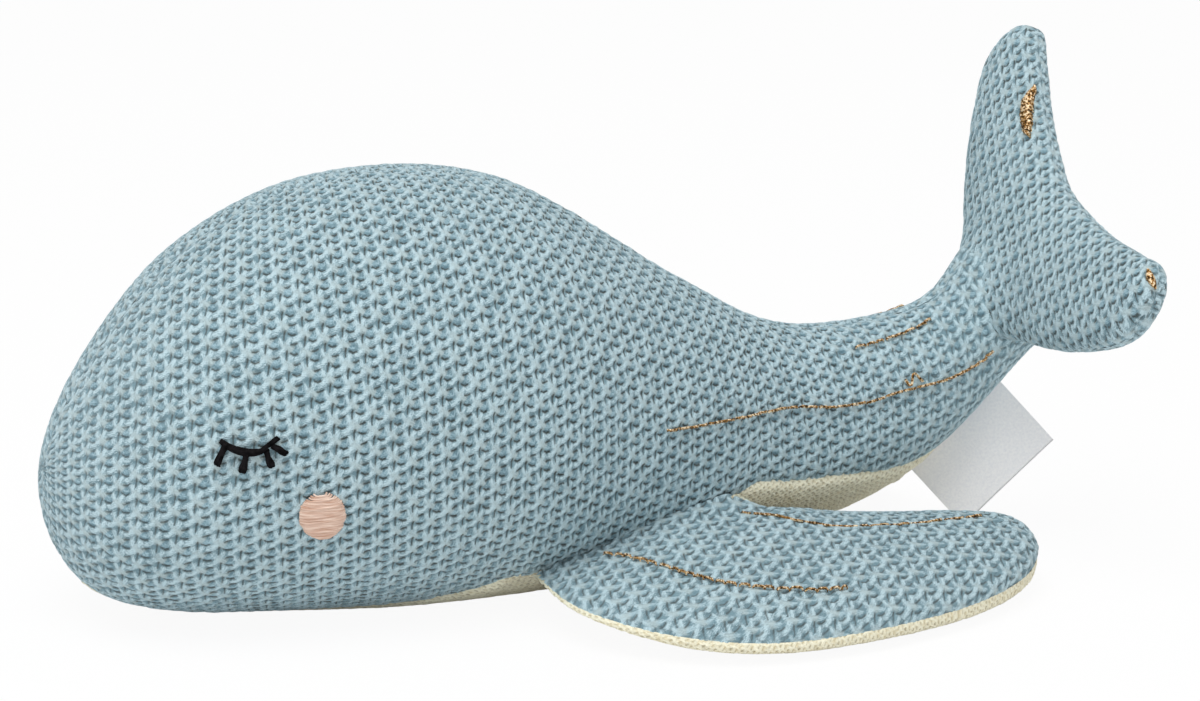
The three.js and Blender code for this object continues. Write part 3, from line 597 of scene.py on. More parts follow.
def threadFinish(name, dark, light, roughness, specular=0.4, grain=900, stretch=1.0):
    # stretch draws the grain out sideways, for threads that lie level
    f = Finish(name, Roughness=roughness, Specular_IOR_Level=specular)
    x, y, z = (f.node("ShaderNodeSeparateXYZ", None, {0: f.place()}, k) for k in range(3))
    seat = f.node("ShaderNodeCombineXYZ", None, {0: x * (1 / stretch), 1: y * (1 / stretch), 2: z})
    strand = f.node("ShaderNodeTexNoise", None, {"Vector": seat, "Scale": grain, "Detail": 3.0})
    f.feed("Base Color", f.blend(strand * 2.2 - 0.6, rgba(dark), rgba(light)))
    f.bump(strand, 0.4, 0.2)
    return f.material


def goldFinish(name):
    f = Finish(name, Roughness=0.32, Metallic=0.6)
    # glints painted into the colour: pale specks are painted highlights, near-black specks painted shade
    # between the twists, the middle stop is the thread's own gold
    glint = f.noise(1500, 2.0)
    stops = [(0.38, tone("#33200a")), (0.5, tone("#b4823c")), (0.61, tone("#ffebc8"))]
    f.feed("Base Color", f.node("ShaderNodeValToRGB", {"stops": stops}, {"Fac": glint}))
    f.bump(glint, 0.5, 0.2)
    return f.material


finishes = {
    "knit_blue": knitFinish(
        "moss knit in pale grey blue", moss, "#42463f", "#7c9aa5", "#c2dbe3", "#a9b6b4", "#a8c6d2"),
    "knit_cream": knitFinish(
        "plain knit in cream", plain, "#9c8c62", "#f0e6c4", "#fffbe2", "#efe6ca", "#efe6ca"),
    "wadding": threadFinish("white fibre filling", "#dcdad4", "#fbfaf6", 0.95, grain=300),
    "sewing_thread": threadFinish("pale sewing thread", "#8fa6ad", "#c2d2d6", 0.7),
    "black_thread": threadFinish("black embroidery thread", "#050506", "#211f21", 0.85, 0.05),
    "pink_satin": threadFinish("pale pink satin stitch", "#c49880", "#f7e0d0", 0.5, 0.4, 2400, 12),
    "gold_thread": goldFinish("twisted gold thread"),
    "white_satin": threadFinish("bare white ribbon", "#f2f3f6", "#ffffff", 0.45, grain=1500),
}


madeOf = {
    "knit_blue": "knit", "knit_cream": "knit", "wadding": "fibre", "sewing_thread": "lockstitch",
    "black_thread": "strands", "pink_satin": "satin", "gold_thread": "gold", "white_satin": "ribbon",
}


def dress(piece, slot, *nodes, body=None):
    piece.name = f"{nodes[0]}_{madeOf[slot]}"
    piece.data.name = piece.name
    piece.data.materials.clear()
    piece.data.materials.append(finishes[slot])
    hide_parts(*nodes)
    if body:
        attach(piece, body)
    return piece


# Flat pattern of a panel by relaxing a net of springs, so that stitches keep their size on a swelling form
def flatPattern(points, start, rounds=500):
    net = start.copy()
    links = [((slice(None, -1), slice(None)), (slice(1, None), slice(None))),
             ((slice(None), slice(None, -1)), (slice(None), slice(1, None))),
             ((slice(None, -1), slice(None, -1)), (slice(1, None), slice(1, None))),
             ((slice(None, -1), slice(1, None)), (slice(1, None), slice(None, -1)))]
    rest = [np.linalg.norm(points[b] - points[a], axis=-1) for a, b in links]
    for _ in range(rounds):
        push = np.zeros_like(net)
        count = np.zeros(net.shape[:2])
        for (a, b), length in zip(links, rest):
            d = net[b] - net[a]
            now = np.linalg.norm(d, axis=-1)
            fix = d * (0.5 * (now - length) / np.maximum(now, 1e-6))[..., None]
            push[a] += fix
            push[b] -= fix
            count[a] += 1
            count[b] += 1
        net += push / count[..., None]
    return net


def refine(grid, rowShare, colShare):
    # smooth reading of a coarse net at shares of its rows and columns
    rows, cols = grid.shape[:2]
    down = throughPoints(np.eye(rows), rowShare) @ grid.reshape(rows, -1)
    down = down.reshape(len(rowShare), cols, -1)
    at = np.clip(colShare, 0, 1) * (cols - 1)
    i = np.minimum(np.floor(at).astype(int), cols - 2)
    r = np.arange(len(rowShare))[:, None]
    ends = np.concatenate([2 * down[:, :1] - down[:, 1:2], down, 2 * down[:, -1:] - down[:, -2:-1]], 1)
    return between(*(ends[r, i + k] for k in range(4)), (at - i)[..., None])


# Filling: a coarse net of a panel is blown up as cloth with its seams held
stuffing = {
    "pressure": 4.0, "frames": 20, "slack": 1.1, "cap": 2.6, "quality": 6, "mass": 0.2, "stiffness": 20,
}


def filled(net, normals, fade):
    # how far each point of the net moves when the filling presses it out
    slack = normals * (stuffing["slack"] * fade)[..., None]
    start = net - slack
    cloth = gridMesh("filling trial", start, flip=np.sum(gridNormals(start) * normals) < 0)
    index = np.arange(net.shape[0] * net.shape[1]).reshape(net.shape[:2])
    held = np.unique(np.concatenate([index[0], index[-1], index[:, 0], index[:, -1]]))
    cloth.vertex_groups.new(name="seams").add(held.tolist(), 1.0, "REPLACE")
    soft = cloth.modifiers.new("cloth", "CLOTH").settings
    soft.quality = stuffing["quality"]
    soft.mass = stuffing["mass"]
    soft.tension_stiffness = stuffing["stiffness"]
    soft.compression_stiffness = stuffing["stiffness"]
    soft.vertex_group_mass = "seams"
    soft.use_pressure = True
    soft.uniform_pressure_force = stuffing["pressure"]
    soft.effector_weights.gravity = 0
    for step in range(1, stuffing["frames"] + 1):
        scene.frame_set(step)
    blown = cloth.evaluated_get(bpy.context.evaluated_depsgraph_get())
    out = np.zeros(net.size, np.float32)
    blown.data.vertices.foreach_get("co", out)
    data = cloth.data
    bpy.data.objects.remove(cloth)
    bpy.data.meshes.remove(data)
    scene.frame_set(1)
    move = out.reshape(net.shape) / mm - start
    far = np.linalg.norm(move, axis=-1, keepdims=True)
    print("filling moves the panel by up to", round(float(far.max()), 2), "mm")
    return move * stuffing["cap"] / np.sqrt(stuffing["cap"] ** 2 + far**2) - slack


def netOf(points, rows, cols):
    # a coarse net over a fine grid, and where the grid's rows and columns lie in it
    r = np.linspace(0, points.shape[0] - 1, rows).round().astype(int)
    c = np.linspace(0, points.shape[1] - 1, cols).round().astype(int)
    rowShare = np.interp(np.arange(points.shape[0]), r, np.linspace(0, 1, rows))
    colShare = np.interp(np.arange(points.shape[1]), c, np.linspace(0, 1, cols))
    return r, c, rowShare, colShare[None, :] + 0 * rowShare[:, None]


class Ground:
    # a coarse skin to measure distances from, negative inside
    def __init__(self, points, inside):
        quads = quadsOf(*points.shape[:2])[1]
        self.tree = BVHTree.FromPolygons(points.reshape(-1, 3).tolist(), quads.tolist())
        self.sign = 1
        self.sign = -1 if self.gap(inside, 1e6) > 0 else 1

    def gap(self, point, reach):
        spot, way, _, gap = self.tree.find_nearest(Vector(point), reach)
        if spot is None:
            return reach
        return gap if (Vector(point) - spot).dot(way) * self.sign > 0 else -gap


def filleted(points, normals, ground, reach):
    # swells a skin where it runs into another form, so that the two flow together
    gap = np.array([ground.gap(p, reach) for p in points.reshape(-1, 3)]).reshape(points.shape[:2])
    near = np.clip((reach - gap) / reach, 0, 1.3)
    return points + normals * (near**2 * reach / 4)[..., None]


# Side panels
sidePanel = {
    "spacing": 0.56, "tuck": 0.6, "tuckWidth": 1.6, "overFin": 5.5, "proud": 0.45,
    "netRows": 60, "netCols": 30, "fade": 8, "tailFrom": 0.84,
    "pull": [  # stretch along the flank in mm from the nose
        [0, 1.15], [60, 1.05], [115, 0.88], [150, 0.82], [190, 0.85], [215, 0.76], [245, 0.78], [300, 0.9],
    ],
    "calm": [  # the relief's share by station: flatter where the knit is stretched
        [0, 0.46], [0.1, 0.6], [0.22, 0.82], [0.35, 1], [0.72, 1], [0.84, 0.75], [0.93, 0.5],
    ],
}


def tuckedIn(edge, depth, width):
    # how far a panel's borders are drawn into their seams
    gap = np.minimum(edge, edge[:, -1:] - edge)
    return depth * np.exp(-(gap / width) ** 2)


def byFin(s, margin=0.02, rate=3):
    # 1 along the root of a fin, 0 before and behind it
    first, last = fin["rootFront"][0], fin["rootRear"][0]
    way = np.clip((s - first + margin) / (last - first + 2 * margin), 0, 1)
    return np.minimum(1, rate * np.sin(math.pi * way))


def sideSurface(side):
    # the panel comes down over the fin's root, past the belly seam
    def surface(s, t):
        rise = np.maximum(bodySection(np.clip(s, 0, 1))[2], 8)
        return bodyAt(s, t * (seamAngle(np.minimum(s, 1)) + sidePanel["overFin"] * byFin(s) / rise), side)
    return surface


def unrolled(net, s):
    # first guess of the flat panel: each section laid straight, the sections set along the flank
    middle = net.shape[1] // 2
    way = unit(bodySection(np.clip(s, 0, 1))[1]) * [1, -1]
    girth = runLength(net, 1)
    flank = runLength(net[:, middle], 0)
    centre = np.stack([flank, -net[:, middle, 2]], -1)
    return centre[:, None] + way[:, None] * (girth[:, middle:middle + 1] - girth)[..., None]


def pulledAlong(flat):
    # the knit is stretched over the head and eases towards the tail
    at, pull = np.array(sidePanel["pull"]).T
    grid = np.linspace(at[0] - 60, at[-1] + 60, 900)
    rate = 1 / np.interp(grid, at, pull)
    run = np.cumsum(rate) * (grid[1] - grid[0])
    return np.stack([np.interp(flat[..., 0], grid, run), flat[..., 1]], -1)


def makeSidePanel(name, side, seed):
    surface = sideSurface(side)
    last = 1 + whale["tailCap"]
    points, rowAt, _, edge = evenGrid(surface, (0.002, last - 0.002), sidePanel["spacing"])
    core = bodyAt(0.4, 0.0, side, 50.0)
    normals = outwards(points, gridNormals(points), core)
    r, c, rowShare, colShare = netOf(points, sidePanel["netRows"], sidePanel["netCols"])
    net = points[r][:, c]
    fade = np.minimum(1, sidePanel["fade"] * np.minimum(rowShare[r], 1 - rowShare[r]))
    fade = fade[:, None] + np.zeros(len(c))
    push = refine(filled(net, normals[r][:, c], fade), rowShare, colShare)
    flat = refine(flatPattern(net, unrolled(net, rowAt[r])), rowShare, colShare)
    cells = cellsOf(pulledAlong(flat) * [-side, 1], moss)
    relief, looks = loopRelief(cells, moss, seed)
    tuck = tuckedIn(edge, 1.0, sidePanel["tuckWidth"])
    at, calm = np.array(sidePanel["calm"]).T
    calm = np.interp(rowAt, at, calm)[:, None]
    # the holes get less painted shade where the knit is stretched and at the tucked seams
    looks["open"] = calm * (1 - 0.6 * tuck)
    skin = points + push
    tail = rowAt > sidePanel["tailFrom"]
    skin[tail] = filleted(skin[tail], normals[tail], flukeGround, fluke["fillet"])
    raised = relief * calm * (1 - 0.4 * tuck) - sidePanel["tuck"] * tuck + sidePanel["proud"]
    skin = skin + normals * raised[..., None]
    skin[..., 2] = np.maximum(skin[..., 2], 0)
    poles = bodyAt(0.0, 0.0, side), bodyAt(last, 0.0, side)
    piece = gridMesh(name, skin, looks, cells, *poles, flip=side < 0)
    return dress(piece, "knit_blue", name, body="torso")


tailFluke = flukeForm()
ringS, ringA = np.meshgrid(np.linspace(0.002, 0.998, 70), np.linspace(0, 2 * math.pi, 49), indexing="ij")
flukeGround = Ground(tailFluke.at(ringS, ringA), tailFluke.at(0.5, math.pi / 2, 0, 7.0))
makeSidePanel("left_side_panel", -1, 11)
makeSidePanel("right_side_panel", 1, 12)
print("side panels knitted")


# Belly gusset
gusset = {  # it runs on under the side panels, deeper at the fins
    "spacing": 0.62, "under": 2.2, "tuck": 2.2, "tuckWidth": 2.2, "byFin": 2.0, "finWidth": 9.0, "proud": 0.1,
}


def makeGusset():
    def surface(s, t):
        a = seamAngle(s) - gusset["under"] / np.maximum(bodySection(s)[2], 8)
        return bodyAt(s, a + t * (2 * math.pi - 2 * a), -1)
    first, last = whale["bellySeam"][0][0], whale["bellySeam"][-1][0]
    points, rowAt, _, edge = evenGrid(surface, (first + 0.002, last - 0.002), gusset["spacing"])
    normals = outwards(points, gridNormals(points), bodyAt(0.4, 0.0, -1, 40.0))
    across = edge - 0.5 * edge[:, -1:]
    flat = np.stack([across, runLength(points[:, points.shape[1] // 2], 0)[:, None] + 0 * across], -1)
    cells = cellsOf(flat, plain)
    relief, looks = loopRelief(cells, plain, 21)
    tuck = tuckedIn(edge, 1.0, gusset["tuckWidth"])
    looks["open"] = 1 - 0.6 * tuck
    deep = gusset["byFin"] * byFin(rowAt)[:, None] * tuckedIn(edge, 1.0, gusset["finWidth"])
    skin = points + normals * (relief - gusset["tuck"] * tuck - deep + gusset["proud"])[..., None]
    skin[..., 2] = np.maximum(skin[..., 2], 0)
    piece = gridMesh("belly_gusset", skin, looks, cells)
    return dress(piece, "knit_cream", "belly_gusset", body="torso")


makeGusset()
print("gusset knitted")


# Fins and fluke
# on the fins the sunken loop keeps less of its painted shade
calmLoops = [[track, radius, warm, 0.4 * cool] for track, radius, warm, cool in moss["loops"]]
finMoss = {
    **moss, "wale": (5.6, 0.1), "course": (-0.85, 6.3), "loops": calmLoops, "rise": 0.38, "open": 0.78,
}
finPlain = {**plain, "wale": (2.3, 1.1), "course": (-0.5, 1.9)}
flukeMoss = {**moss, "wale": (-2.2, 3.7), "course": (-5.0, -1.68), "rise": 0.42, "open": 0.9}


finFace = {"spacing": 0.56, "span": (0.0, 0.9985), "tuck": 0.6, "lead": fin["creamEdge"], "rootFade": 1}
flukeFace = {"spacing": 0.5, "span": (0.0015, 0.9985), "tuck": 0.5, "lead": 0.0, "rootFade": 0}
bothFaces = {
    "netRows": 34, "netCols": 18, "relax": 300, "fade": 7, "slack": 0.7, "rimWidth": 1.8, "proud": 0.3,
}


def makeFace(name, form, top, slot, knit, sewn, meets=None):
    # lead is the angle by which the lower panel comes up round the leading edge
    lead = sewn["lead"]
    surface = lambda s, t: form.at(s, lead + (math.pi - lead if top else -math.pi - lead) * t)
    points, _, _, edge = evenGrid(surface, sewn["span"], sewn["spacing"])
    up = form.face if top else -form.face
    normals = gridNormals(points)
    normals = normals if np.sum(normals * up) > 0 else -normals
    r, c, rowShare, colShare = netOf(points, bothFaces["netRows"], bothFaces["netCols"])
    fade = np.minimum(1, bothFaces["fade"] * np.minimum(rowShare[r] + sewn["rootFade"], 1 - rowShare[r]))
    fade = bothFaces["slack"] * fade[:, None] + np.zeros(len(c))
    net = points[r][:, c]
    push = refine(filled(net, normals[r][:, c], fade), rowShare, colShare)
    local = net - form.root
    plan = np.stack([local @ form.along * (1 if top else -1), local @ form.out], -1)
    cells = cellsOf(refine(flatPattern(net, plan, bothFaces["relax"]), rowShare, colShare), knit)
    relief, looks = loopRelief(cells, knit, len(name))
    rim = tuckedIn(edge, 1.0, bothFaces["rimWidth"])
    looks["open"] = knit["open"] * (1 - 0.6 * rim)
    skin = points + push
    if meets is not None:
        skin = filleted(skin, normals, meets, fluke["fillet"])
    skin = skin + normals * (relief * (1 - 0.6 * rim) - sewn["tuck"] * rim + bothFaces["proud"])[..., None]
    skin[..., 2] = np.maximum(skin[..., 2], 0)
    piece = gridMesh(name, skin, looks, cells)
    faceOut(piece, up)
    dress(piece, slot, name)
    bendWith(piece, form)


def bendWith(piece, form):
    # bakes the placement of a piece of a fin or of the fluke into its mesh
    form.start * mm
    (form.start + form.out * form.bends) * mm
    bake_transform(piece)


def faceOut(piece, way):
    # turns the faces over where most of them look the wrong way
    normals = np.zeros(3 * len(piece.data.polygons))
    piece.data.polygons.foreach_get("normal", normals)
    if np.sum(normals.reshape(-1, 3) @ way) < 0:
        piece.data.flip_normals()


for side, word in ((-1, "left"), (1, "right")):
    form = finForm(side, f"{word}_fin")
    makeFace(f"{word}_fin_upper_panel", form, True, "knit_blue", finMoss, finFace)
    makeFace(f"{word}_fin_lower_panel", form, False, "knit_cream", finPlain, finFace)
    fin[word] = form
print("fins knitted")

ringS, ringA = np.meshgrid(np.linspace(0.8, 1.08, 40), np.linspace(0, 2 * math.pi, 49), indexing="ij")
tailGround = Ground(bodyAt(ringS, ringA, -1), bodyAt(0.92, 0.0, -1, 12.0))

makeFace("fluke_upper_panel", tailFluke, True, "knit_blue", flukeMoss, flukeFace, tailGround)
makeFace("fluke_lower_panel", tailFluke, False, "knit_blue", flukeMoss, flukeFace, tailGround)
print("fluke knitted")


# Embroidery
def bodyLift(s, degrees, side, height):
    s = np.asarray(s, float)
    a = np.radians(degrees)
    p, n = liftFrom(lambda u, w: bodyAt(u, w, side), s, a, 0 * s)
    way = p - bodyAt(s, a, side, 12.0)
    n = n * np.sign(np.sum(n * way, -1, keepdims=True))
    return p + n * np.asarray(height)[..., None], n


def formLift(form, s, degrees, height):
    s = np.asarray(s, float)
    p, n = liftFrom(form.at, s, np.radians(degrees), 0 * s)
    n = n * np.sign(n @ form.face)[..., None]
    return p + n * np.asarray(height)[..., None], n


def laid(lift, track, count, height, ends=(0, 1), dip=0.9):
    # a strand laid over the knit along a track, its two ends pulled through the fabric
    u = np.linspace(0, 1, count)
    at = throughPoints(track, np.interp(u, [0, 1], ends))
    rise = height - (dip + height) * np.abs(2 * u - 1) ** 8
    return lift(at[:, 0], at[:, 1], rise)


def strands(lift, track, count, height, spread, amount, rng):
    # strands side by side along one stitch
    made = []
    u = np.linspace(0, 1, count)
    width = spread * (1 + 0.25 * np.sin(7 * u + rng.uniform(0, 6)))
    for place in np.linspace(-1, 1, amount):
        path, n = laid(lift, track, count, height, (rng.uniform(-0.02, 0.04), rng.uniform(0.96, 1)))
        side = unit(np.cross(n, np.gradient(path, axis=0)))
        sway = np.sin(6 * u + rng.uniform(0, 6)) * 0.1 + rng.normal() * 0.05
        made.append(path + side * (place * width + sway)[:, None] + n * (1 - place**2) * 0.25)
    return made


eyes = {
    "strand": 0.3, "height": 0.75, "spread": 0.56, "amount": 5,
    "lid": [[0.257, 84.3], [0.269, 87.0], [0.280, 88.5], [0.289, 88.8], [0.293, 88.0], [0.302, 86.3]],
    "lashes": [
        [[0.262, 86.0], [0.256, 90.3]], [[0.279, 88.8], [0.277, 93.0]],
        [[0.293, 88.8], [0.298, 92.8]], [[0.297, 88.0], [0.308, 90.3]],
    ],
}
cheeks = {
    "spot": [0.334, 107.8], "width": 11.2, "tall": 12.4, "slope": 7,
    "strand": 0.27, "pitch": 0.38, "height": 0.95, "crown": 0.25, "dip": 1.3, "points": 16,
}
goldLines = {
    "strand": 0.2, "stitch": 2.8, "skip": 0.9, "turn": 1.2, "gap": 0.26, "least": 0.8, "dip": 0.4,
    "points": 14,
    "height": {  # over the skin; a line below 0 lies sunk between the loops
        "flank_line_long": 0.5, "flank_line_short": 0.14, "fin_line_front": 0.36, "fin_line_rear": -0.32,
    },
    "flank_line_long": [
        [0.599, 84.3], [0.627, 80.8], [0.681, 75.0], [0.716, 72.0], [0.749, 73.5], [0.776, 75.0],
        [0.800, 75.5], [0.826, 76.0], [0.850, 79.0], [0.875, 83.3], [0.907, 88.3], [0.936, 92.5],
        [0.952, 94.8],
    ],
    "flank_line_short": [[0.798, 37.0], [0.826, 36.0], [0.856, 34.5], [0.888, 31.8]],
    "looseEnd": [[0.831, 69.5], [0.834, 74.8], [0.838, 68.6], [0.842, 69.0], [0.849, 76.0]],
    "looseRise": 1.3,
    "fin_line_front": [
        [0.048, 65.2], [0.089, 69.8], [0.142, 71.8], [0.192, 71.0], [0.239, 68.5], [0.277, 66.5],
        [0.324, 64.2], [0.362, 63.8], [0.402, 63.2], [0.443, 62.5], [0.478, 60.8], [0.512, 60.5],
    ],
    "fin_line_rear": [
        [0.151, 131.0], [0.264, 127.5], [0.334, 121.2], [0.391, 119.4], [0.448, 115.8], [0.502, 114.9],
        [0.562, 114.9], [0.602, 114.0], [0.639, 114.0], [0.679, 115.8], [0.726, 117.0], [0.773, 119.0],
    ],
}
crescents = {
    "strand": 0.24, "pitch": 0.34, "height": 0.75, "dip": 0.6, "slant": 0.008, "points": 12,
    "right_fluke_crescent": [
        [0.269, 160.0, 162.0], [0.289, 141.0, 157.0], [0.308, 137.5, 153.0], [0.326, 136.5, 151.0],
        [0.345, 138.0, 147.0], [0.362, 140.5, 142.0],
    ],
    "left_fluke_crescent": [
        [0.908, 146.0, 148.0], [0.922, 137.0, 153.0], [0.936, 134.0, 157.0], [0.948, 135.0, 158.0],
        [0.958, 140.0, 156.0], [0.966, 147.0, 150.0],
    ],
}


def makeEye(word, side):
    rng = np.random.default_rng(31)
    lift = lambda s, a, h: bodyLift(s, a, side, h)
    paths = strands(lift, eyes["lid"], 22, eyes["height"], eyes["spread"], eyes["amount"], rng)
    for lash in eyes["lashes"]:
        paths += strands(lift, lash, 12, eyes["height"] + 0.1, eyes["spread"], eyes["amount"], rng)
    name = f"{word}_eye_stitching"
    return dress(threadMesh(name, paths, eyes["strand"]), "black_thread", name, body="torso")


def makeCheek(word, side):
    rng = np.random.default_rng(32)
    s, a = cheeks["spot"]
    centre, n = bodyLift(np.array(s), a, side, 0.0)
    along = unit(np.array([1.0, 0, 0]) - n * n[0])
    down = np.cross(n, along) * side
    slope = math.radians(cheeks["slope"])
    across = along * math.cos(slope) - down * math.sin(slope)
    over = along * math.sin(slope) + down * math.cos(slope)
    radius = cheeks["tall"] / 2
    squeeze = cheeks["width"] / cheeks["tall"]
    reach = np.linspace(-1, 1, 24)
    seatS, seatA = np.meshgrid(s + 0.05 * reach, np.radians(a + 14 * reach), indexing="ij")
    ground = Ground(bodyAt(seatS, seatA, side), bodyAt(s, math.radians(a), side, 20.0))
    paths = []
    for v in np.arange(-radius + 0.2, radius - 0.1, cheeks["pitch"]):
        half = math.sqrt(radius**2 - v**2) * squeeze + rng.normal() * 0.15
        u = np.linspace(-half, half, cheeks["points"])
        edge = np.abs(u / half) ** 6
        crown = cheeks["height"] - cheeks["crown"] * (u**2 + v**2) / radius**2 - cheeks["dip"] * edge
        crown = crown + rng.normal() * 0.07
        path = []
        for x, h in zip(u, crown):
            seat = centre + across * x + over * (v + rng.normal() * 0.012)
            path.append(np.array(ground.tree.find_nearest(Vector(seat))[0]) + n * h)
        paths.append(path)
    name = f"{word}_cheek_patch"
    return dress(threadMesh(name, paths, cheeks["strand"], 2), "pink_satin", name, body="torso")


def goldPaths(lift, part, seed):
    # a running line of short twisted stitches
    track = goldLines[part]
    rng = np.random.default_rng(seed)
    u = np.linspace(0, 1, 400)
    at = throughPoints(track, u)
    line, _ = lift(at[:, 0], at[:, 1], 0 * u)
    run = runLength(line, 0)
    paths = []
    place = 0.0
    share = np.linspace(0, 1, goldLines["points"])
    while place < run[-1] - goldLines["least"]:
        size = goldLines["stitch"] * rng.uniform(0.75, 1.2)
        stop = min(place + size, run[-1])
        r = np.linspace(place, stop, goldLines["points"])
        at = throughPoints(track, np.interp(r, run, u))
        top = goldLines["height"][part] + rng.uniform(-0.15, 0.1)
        rise = top - (top + goldLines["dip"]) * np.abs(2 * share - 1) ** 5
        path, n = lift(at[:, 0], at[:, 1], rise)
        side = unit(np.cross(n, np.gradient(path, axis=0)))
        drift = rng.normal() * 0.12
        for ply in (0, math.pi):
            turn = 2 * math.pi * r / goldLines["turn"] + ply
            swing = np.cos(turn)[:, None] * side + np.sin(turn)[:, None] * n
            paths.append(path + swing * goldLines["gap"] + side * drift)
        place = stop + rng.uniform(-0.5, 1.0) * goldLines["skip"]
    return paths


def looseEnd(lift):
    # a snagged loop of thread that stands a little off the knit
    u = np.linspace(0, 1, 60)
    at = throughPoints(goldLines["looseEnd"], u)
    rise = goldLines["dip"] + goldLines["looseRise"] * np.sin(math.pi * u) ** 2
    path, n = lift(at[:, 0], at[:, 1], rise)
    return [path, path + n * 0.25 + np.array([0.25, 0, 0.1])]


def makeCrescent(name):
    rng = np.random.default_rng(len(name))
    u = np.linspace(0, 1, 200)
    edge = throughPoints(crescents[name], u)
    middle, _ = formLift(tailFluke, edge[:, 0], 0.5 * (edge[:, 1] + edge[:, 2]), 0 * u)
    run = runLength(middle, 0)
    share = np.linspace(0, 1, crescents["points"])
    rise = crescents["height"] - (crescents["height"] + crescents["dip"]) * np.abs(2 * share - 1) ** 6
    slant = (share - 0.5) * crescents["slant"]
    paths = []
    for r in np.arange(0.1, run[-1] - 0.1, crescents["pitch"]):
        s, a, b = throughPoints(crescents[name], np.interp(r, run, u))
        paths.append(formLift(tailFluke, s + slant, a + (b - a) * share + rng.normal() * 0.6, rise)[0])
    return dress(threadMesh(name, paths, crescents["strand"], 2), "gold_thread", name, body="fluke")


for side, word in ((-1, "left"), (1, "right")):
    makeEye(word, side)
    makeCheek(word, side)
    for k, part in enumerate(("flank_line_long", "flank_line_short", "fin_line_front", "fin_line_rear")):
        name = f"{word}_{part}"
        onFin = part.startswith("fin")
        skin = fin[word]
        onBody = lambda s, a, h: bodyLift(s, a, side, h)
        lift = (lambda s, a, h: formLift(skin, s, a, h)) if onFin else onBody
        paths = goldPaths(lift, part, 41 + k)
        if name == "left_flank_line_long":
            paths += looseEnd(lift)
        piece = threadMesh(name, paths, goldLines["strand"], 1)
        dress(piece, "gold_thread", name, body=None if onFin else "torso")
        if onFin:
            bendWith(piece, skin)
for name in ("left_fluke_crescent", "right_fluke_crescent"):
    makeCrescent(name)
print("embroidery sewn")


# Folded label in the under-tail seam
label = {
    "stations": [0.848, 0.962], "reach": 23.5, "ply": 0.42, "seat": 0.5, "curl": 1.1, "flip": 20, "bend": 5,
    "rows": 61, "cols": 40,
}


def makeLabel():
    s = np.linspace(*label["stations"], label["cols"])
    seam = bodyAt(s, 0 * s + math.pi, -1)
    way = unit(seam[-1] - seam[0])
    flip = math.radians(label["flip"])
    away = np.array([way[2] * math.cos(flip), -math.sin(flip), -way[0] * math.cos(flip)])
    aside = np.cross(way, away)
    near = seam + away * label["seat"]
    far = seam[0] + way * ((seam - seam[0]) @ way)[:, None] + away * label["reach"]
    rows = []
    wave = np.sin(np.linspace(0.2, 2.6, label["cols"]))
    for d in np.linspace(-1, 1, label["rows"]):
        share = 1 - abs(d)
        gap = label["ply"] * (1 - share**6) * (1 if d > 0 else -1)
        bow = label["curl"] * math.sin(math.pi / 2 * share) * wave
        rows.append(near + (far - near) * share + aside * (gap + bow)[:, None])
    piece = gridMesh("sewn_label", np.array(rows))
    dress(piece, "white_satin", "sewn_label")
    hem = seam.mean(0)
    hem * mm
    (hem + away * label["bend"]) * mm
    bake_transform(piece)
    flat = (label["reach"] * 2 * mm, np.linalg.norm(seam[-1] - seam[0]) * mm)
    return piece


makeLabel()
print("label folded")


# Wadding and the sewing thread inside the seams
filling = {"inset": 5.4, "lump": 14, "rough": 0.7, "spacing": 2.4}
flatFilling = {"rimInset": 4.6, "faceInset": 3.2, "lump": 9, "rough": 0.35, "spacing": 1.8}
sewing = {"thread": 0.28, "inset": 4.1, "rimInset": 3.4, "stitch": 2.6, "swing": 0.35, "apart": 0.12}


def makeWadding():
    surface = lambda s, t: bodyAt(s, 2 * math.pi * t, -1, filling["inset"])
    points, *_ = evenGrid(surface, (0.09, 0.985), filling["spacing"])
    normals = outwards(points, gridNormals(points), bodyAt(0.4, 0.0, -1, 50.0))
    lumps = wobble(points, filling["lump"], 51) + 0.5 * wobble(points, filling["lump"] / 3, 52)
    points = points + normals * (lumps * filling["rough"])[..., None]
    points[:, -1] = points[:, 0]
    piece = gridMesh("body_stuffing", points, None, None, points[0].mean(0), points[-1].mean(0))
    closeUp(piece)
    dress(piece, "wadding", "body_stuffing", body="torso")


def closeUp(piece):
    pickOnly(piece)
    bpy.ops.object.mode_set(mode="EDIT")
    bpy.ops.mesh.select_all(action="SELECT")
    bpy.ops.mesh.remove_doubles(threshold=1e-6)
    bpy.ops.mesh.normals_make_consistent(inside=False)
    bpy.ops.object.mode_set(mode="OBJECT")
    piece.select_set(False)


def formWadding(name, form, span):
    surface = lambda s, t: form.at(s, 2 * math.pi * t, flatFilling["rimInset"], flatFilling["faceInset"])
    points, *_ = evenGrid(surface, span, flatFilling["spacing"])
    way = gridNormals(points)
    middle = points.mean(1, keepdims=True)
    way = way * np.sign(np.sum(way * (points - middle)))
    points = points + way * (wobble(points, flatFilling["lump"], 53) * flatFilling["rough"])[..., None]
    points[:, -1] = points[:, 0]
    piece = gridMesh(name, points, None, None, points[0].mean(0), points[-1].mean(0))
    closeUp(piece)
    dress(piece, "wadding", name)
    bendWith(piece, form)


def lockStitch(line, normals):
    # two threads that cross at each stitch along a seam
    run = runLength(line, 0)
    side = unit(np.cross(normals, np.gradient(line, axis=0)))
    turn = 2 * math.pi * run / sewing["stitch"]
    up = np.sin(turn)[:, None] * normals * sewing["swing"]
    return [line + up + side * sewing["apart"], line - up - side * sewing["apart"]]


def seamThread(name, s, angle, side):
    line = bodyAt(s, angle, side, sewing["inset"])
    out = unit(bodyAt(s, angle, side, 0.0) - bodyAt(s, angle, side, 9.0))
    dress(threadMesh(name, lockStitch(line, out), sewing["thread"], 1), "sewing_thread", name, body="torso")


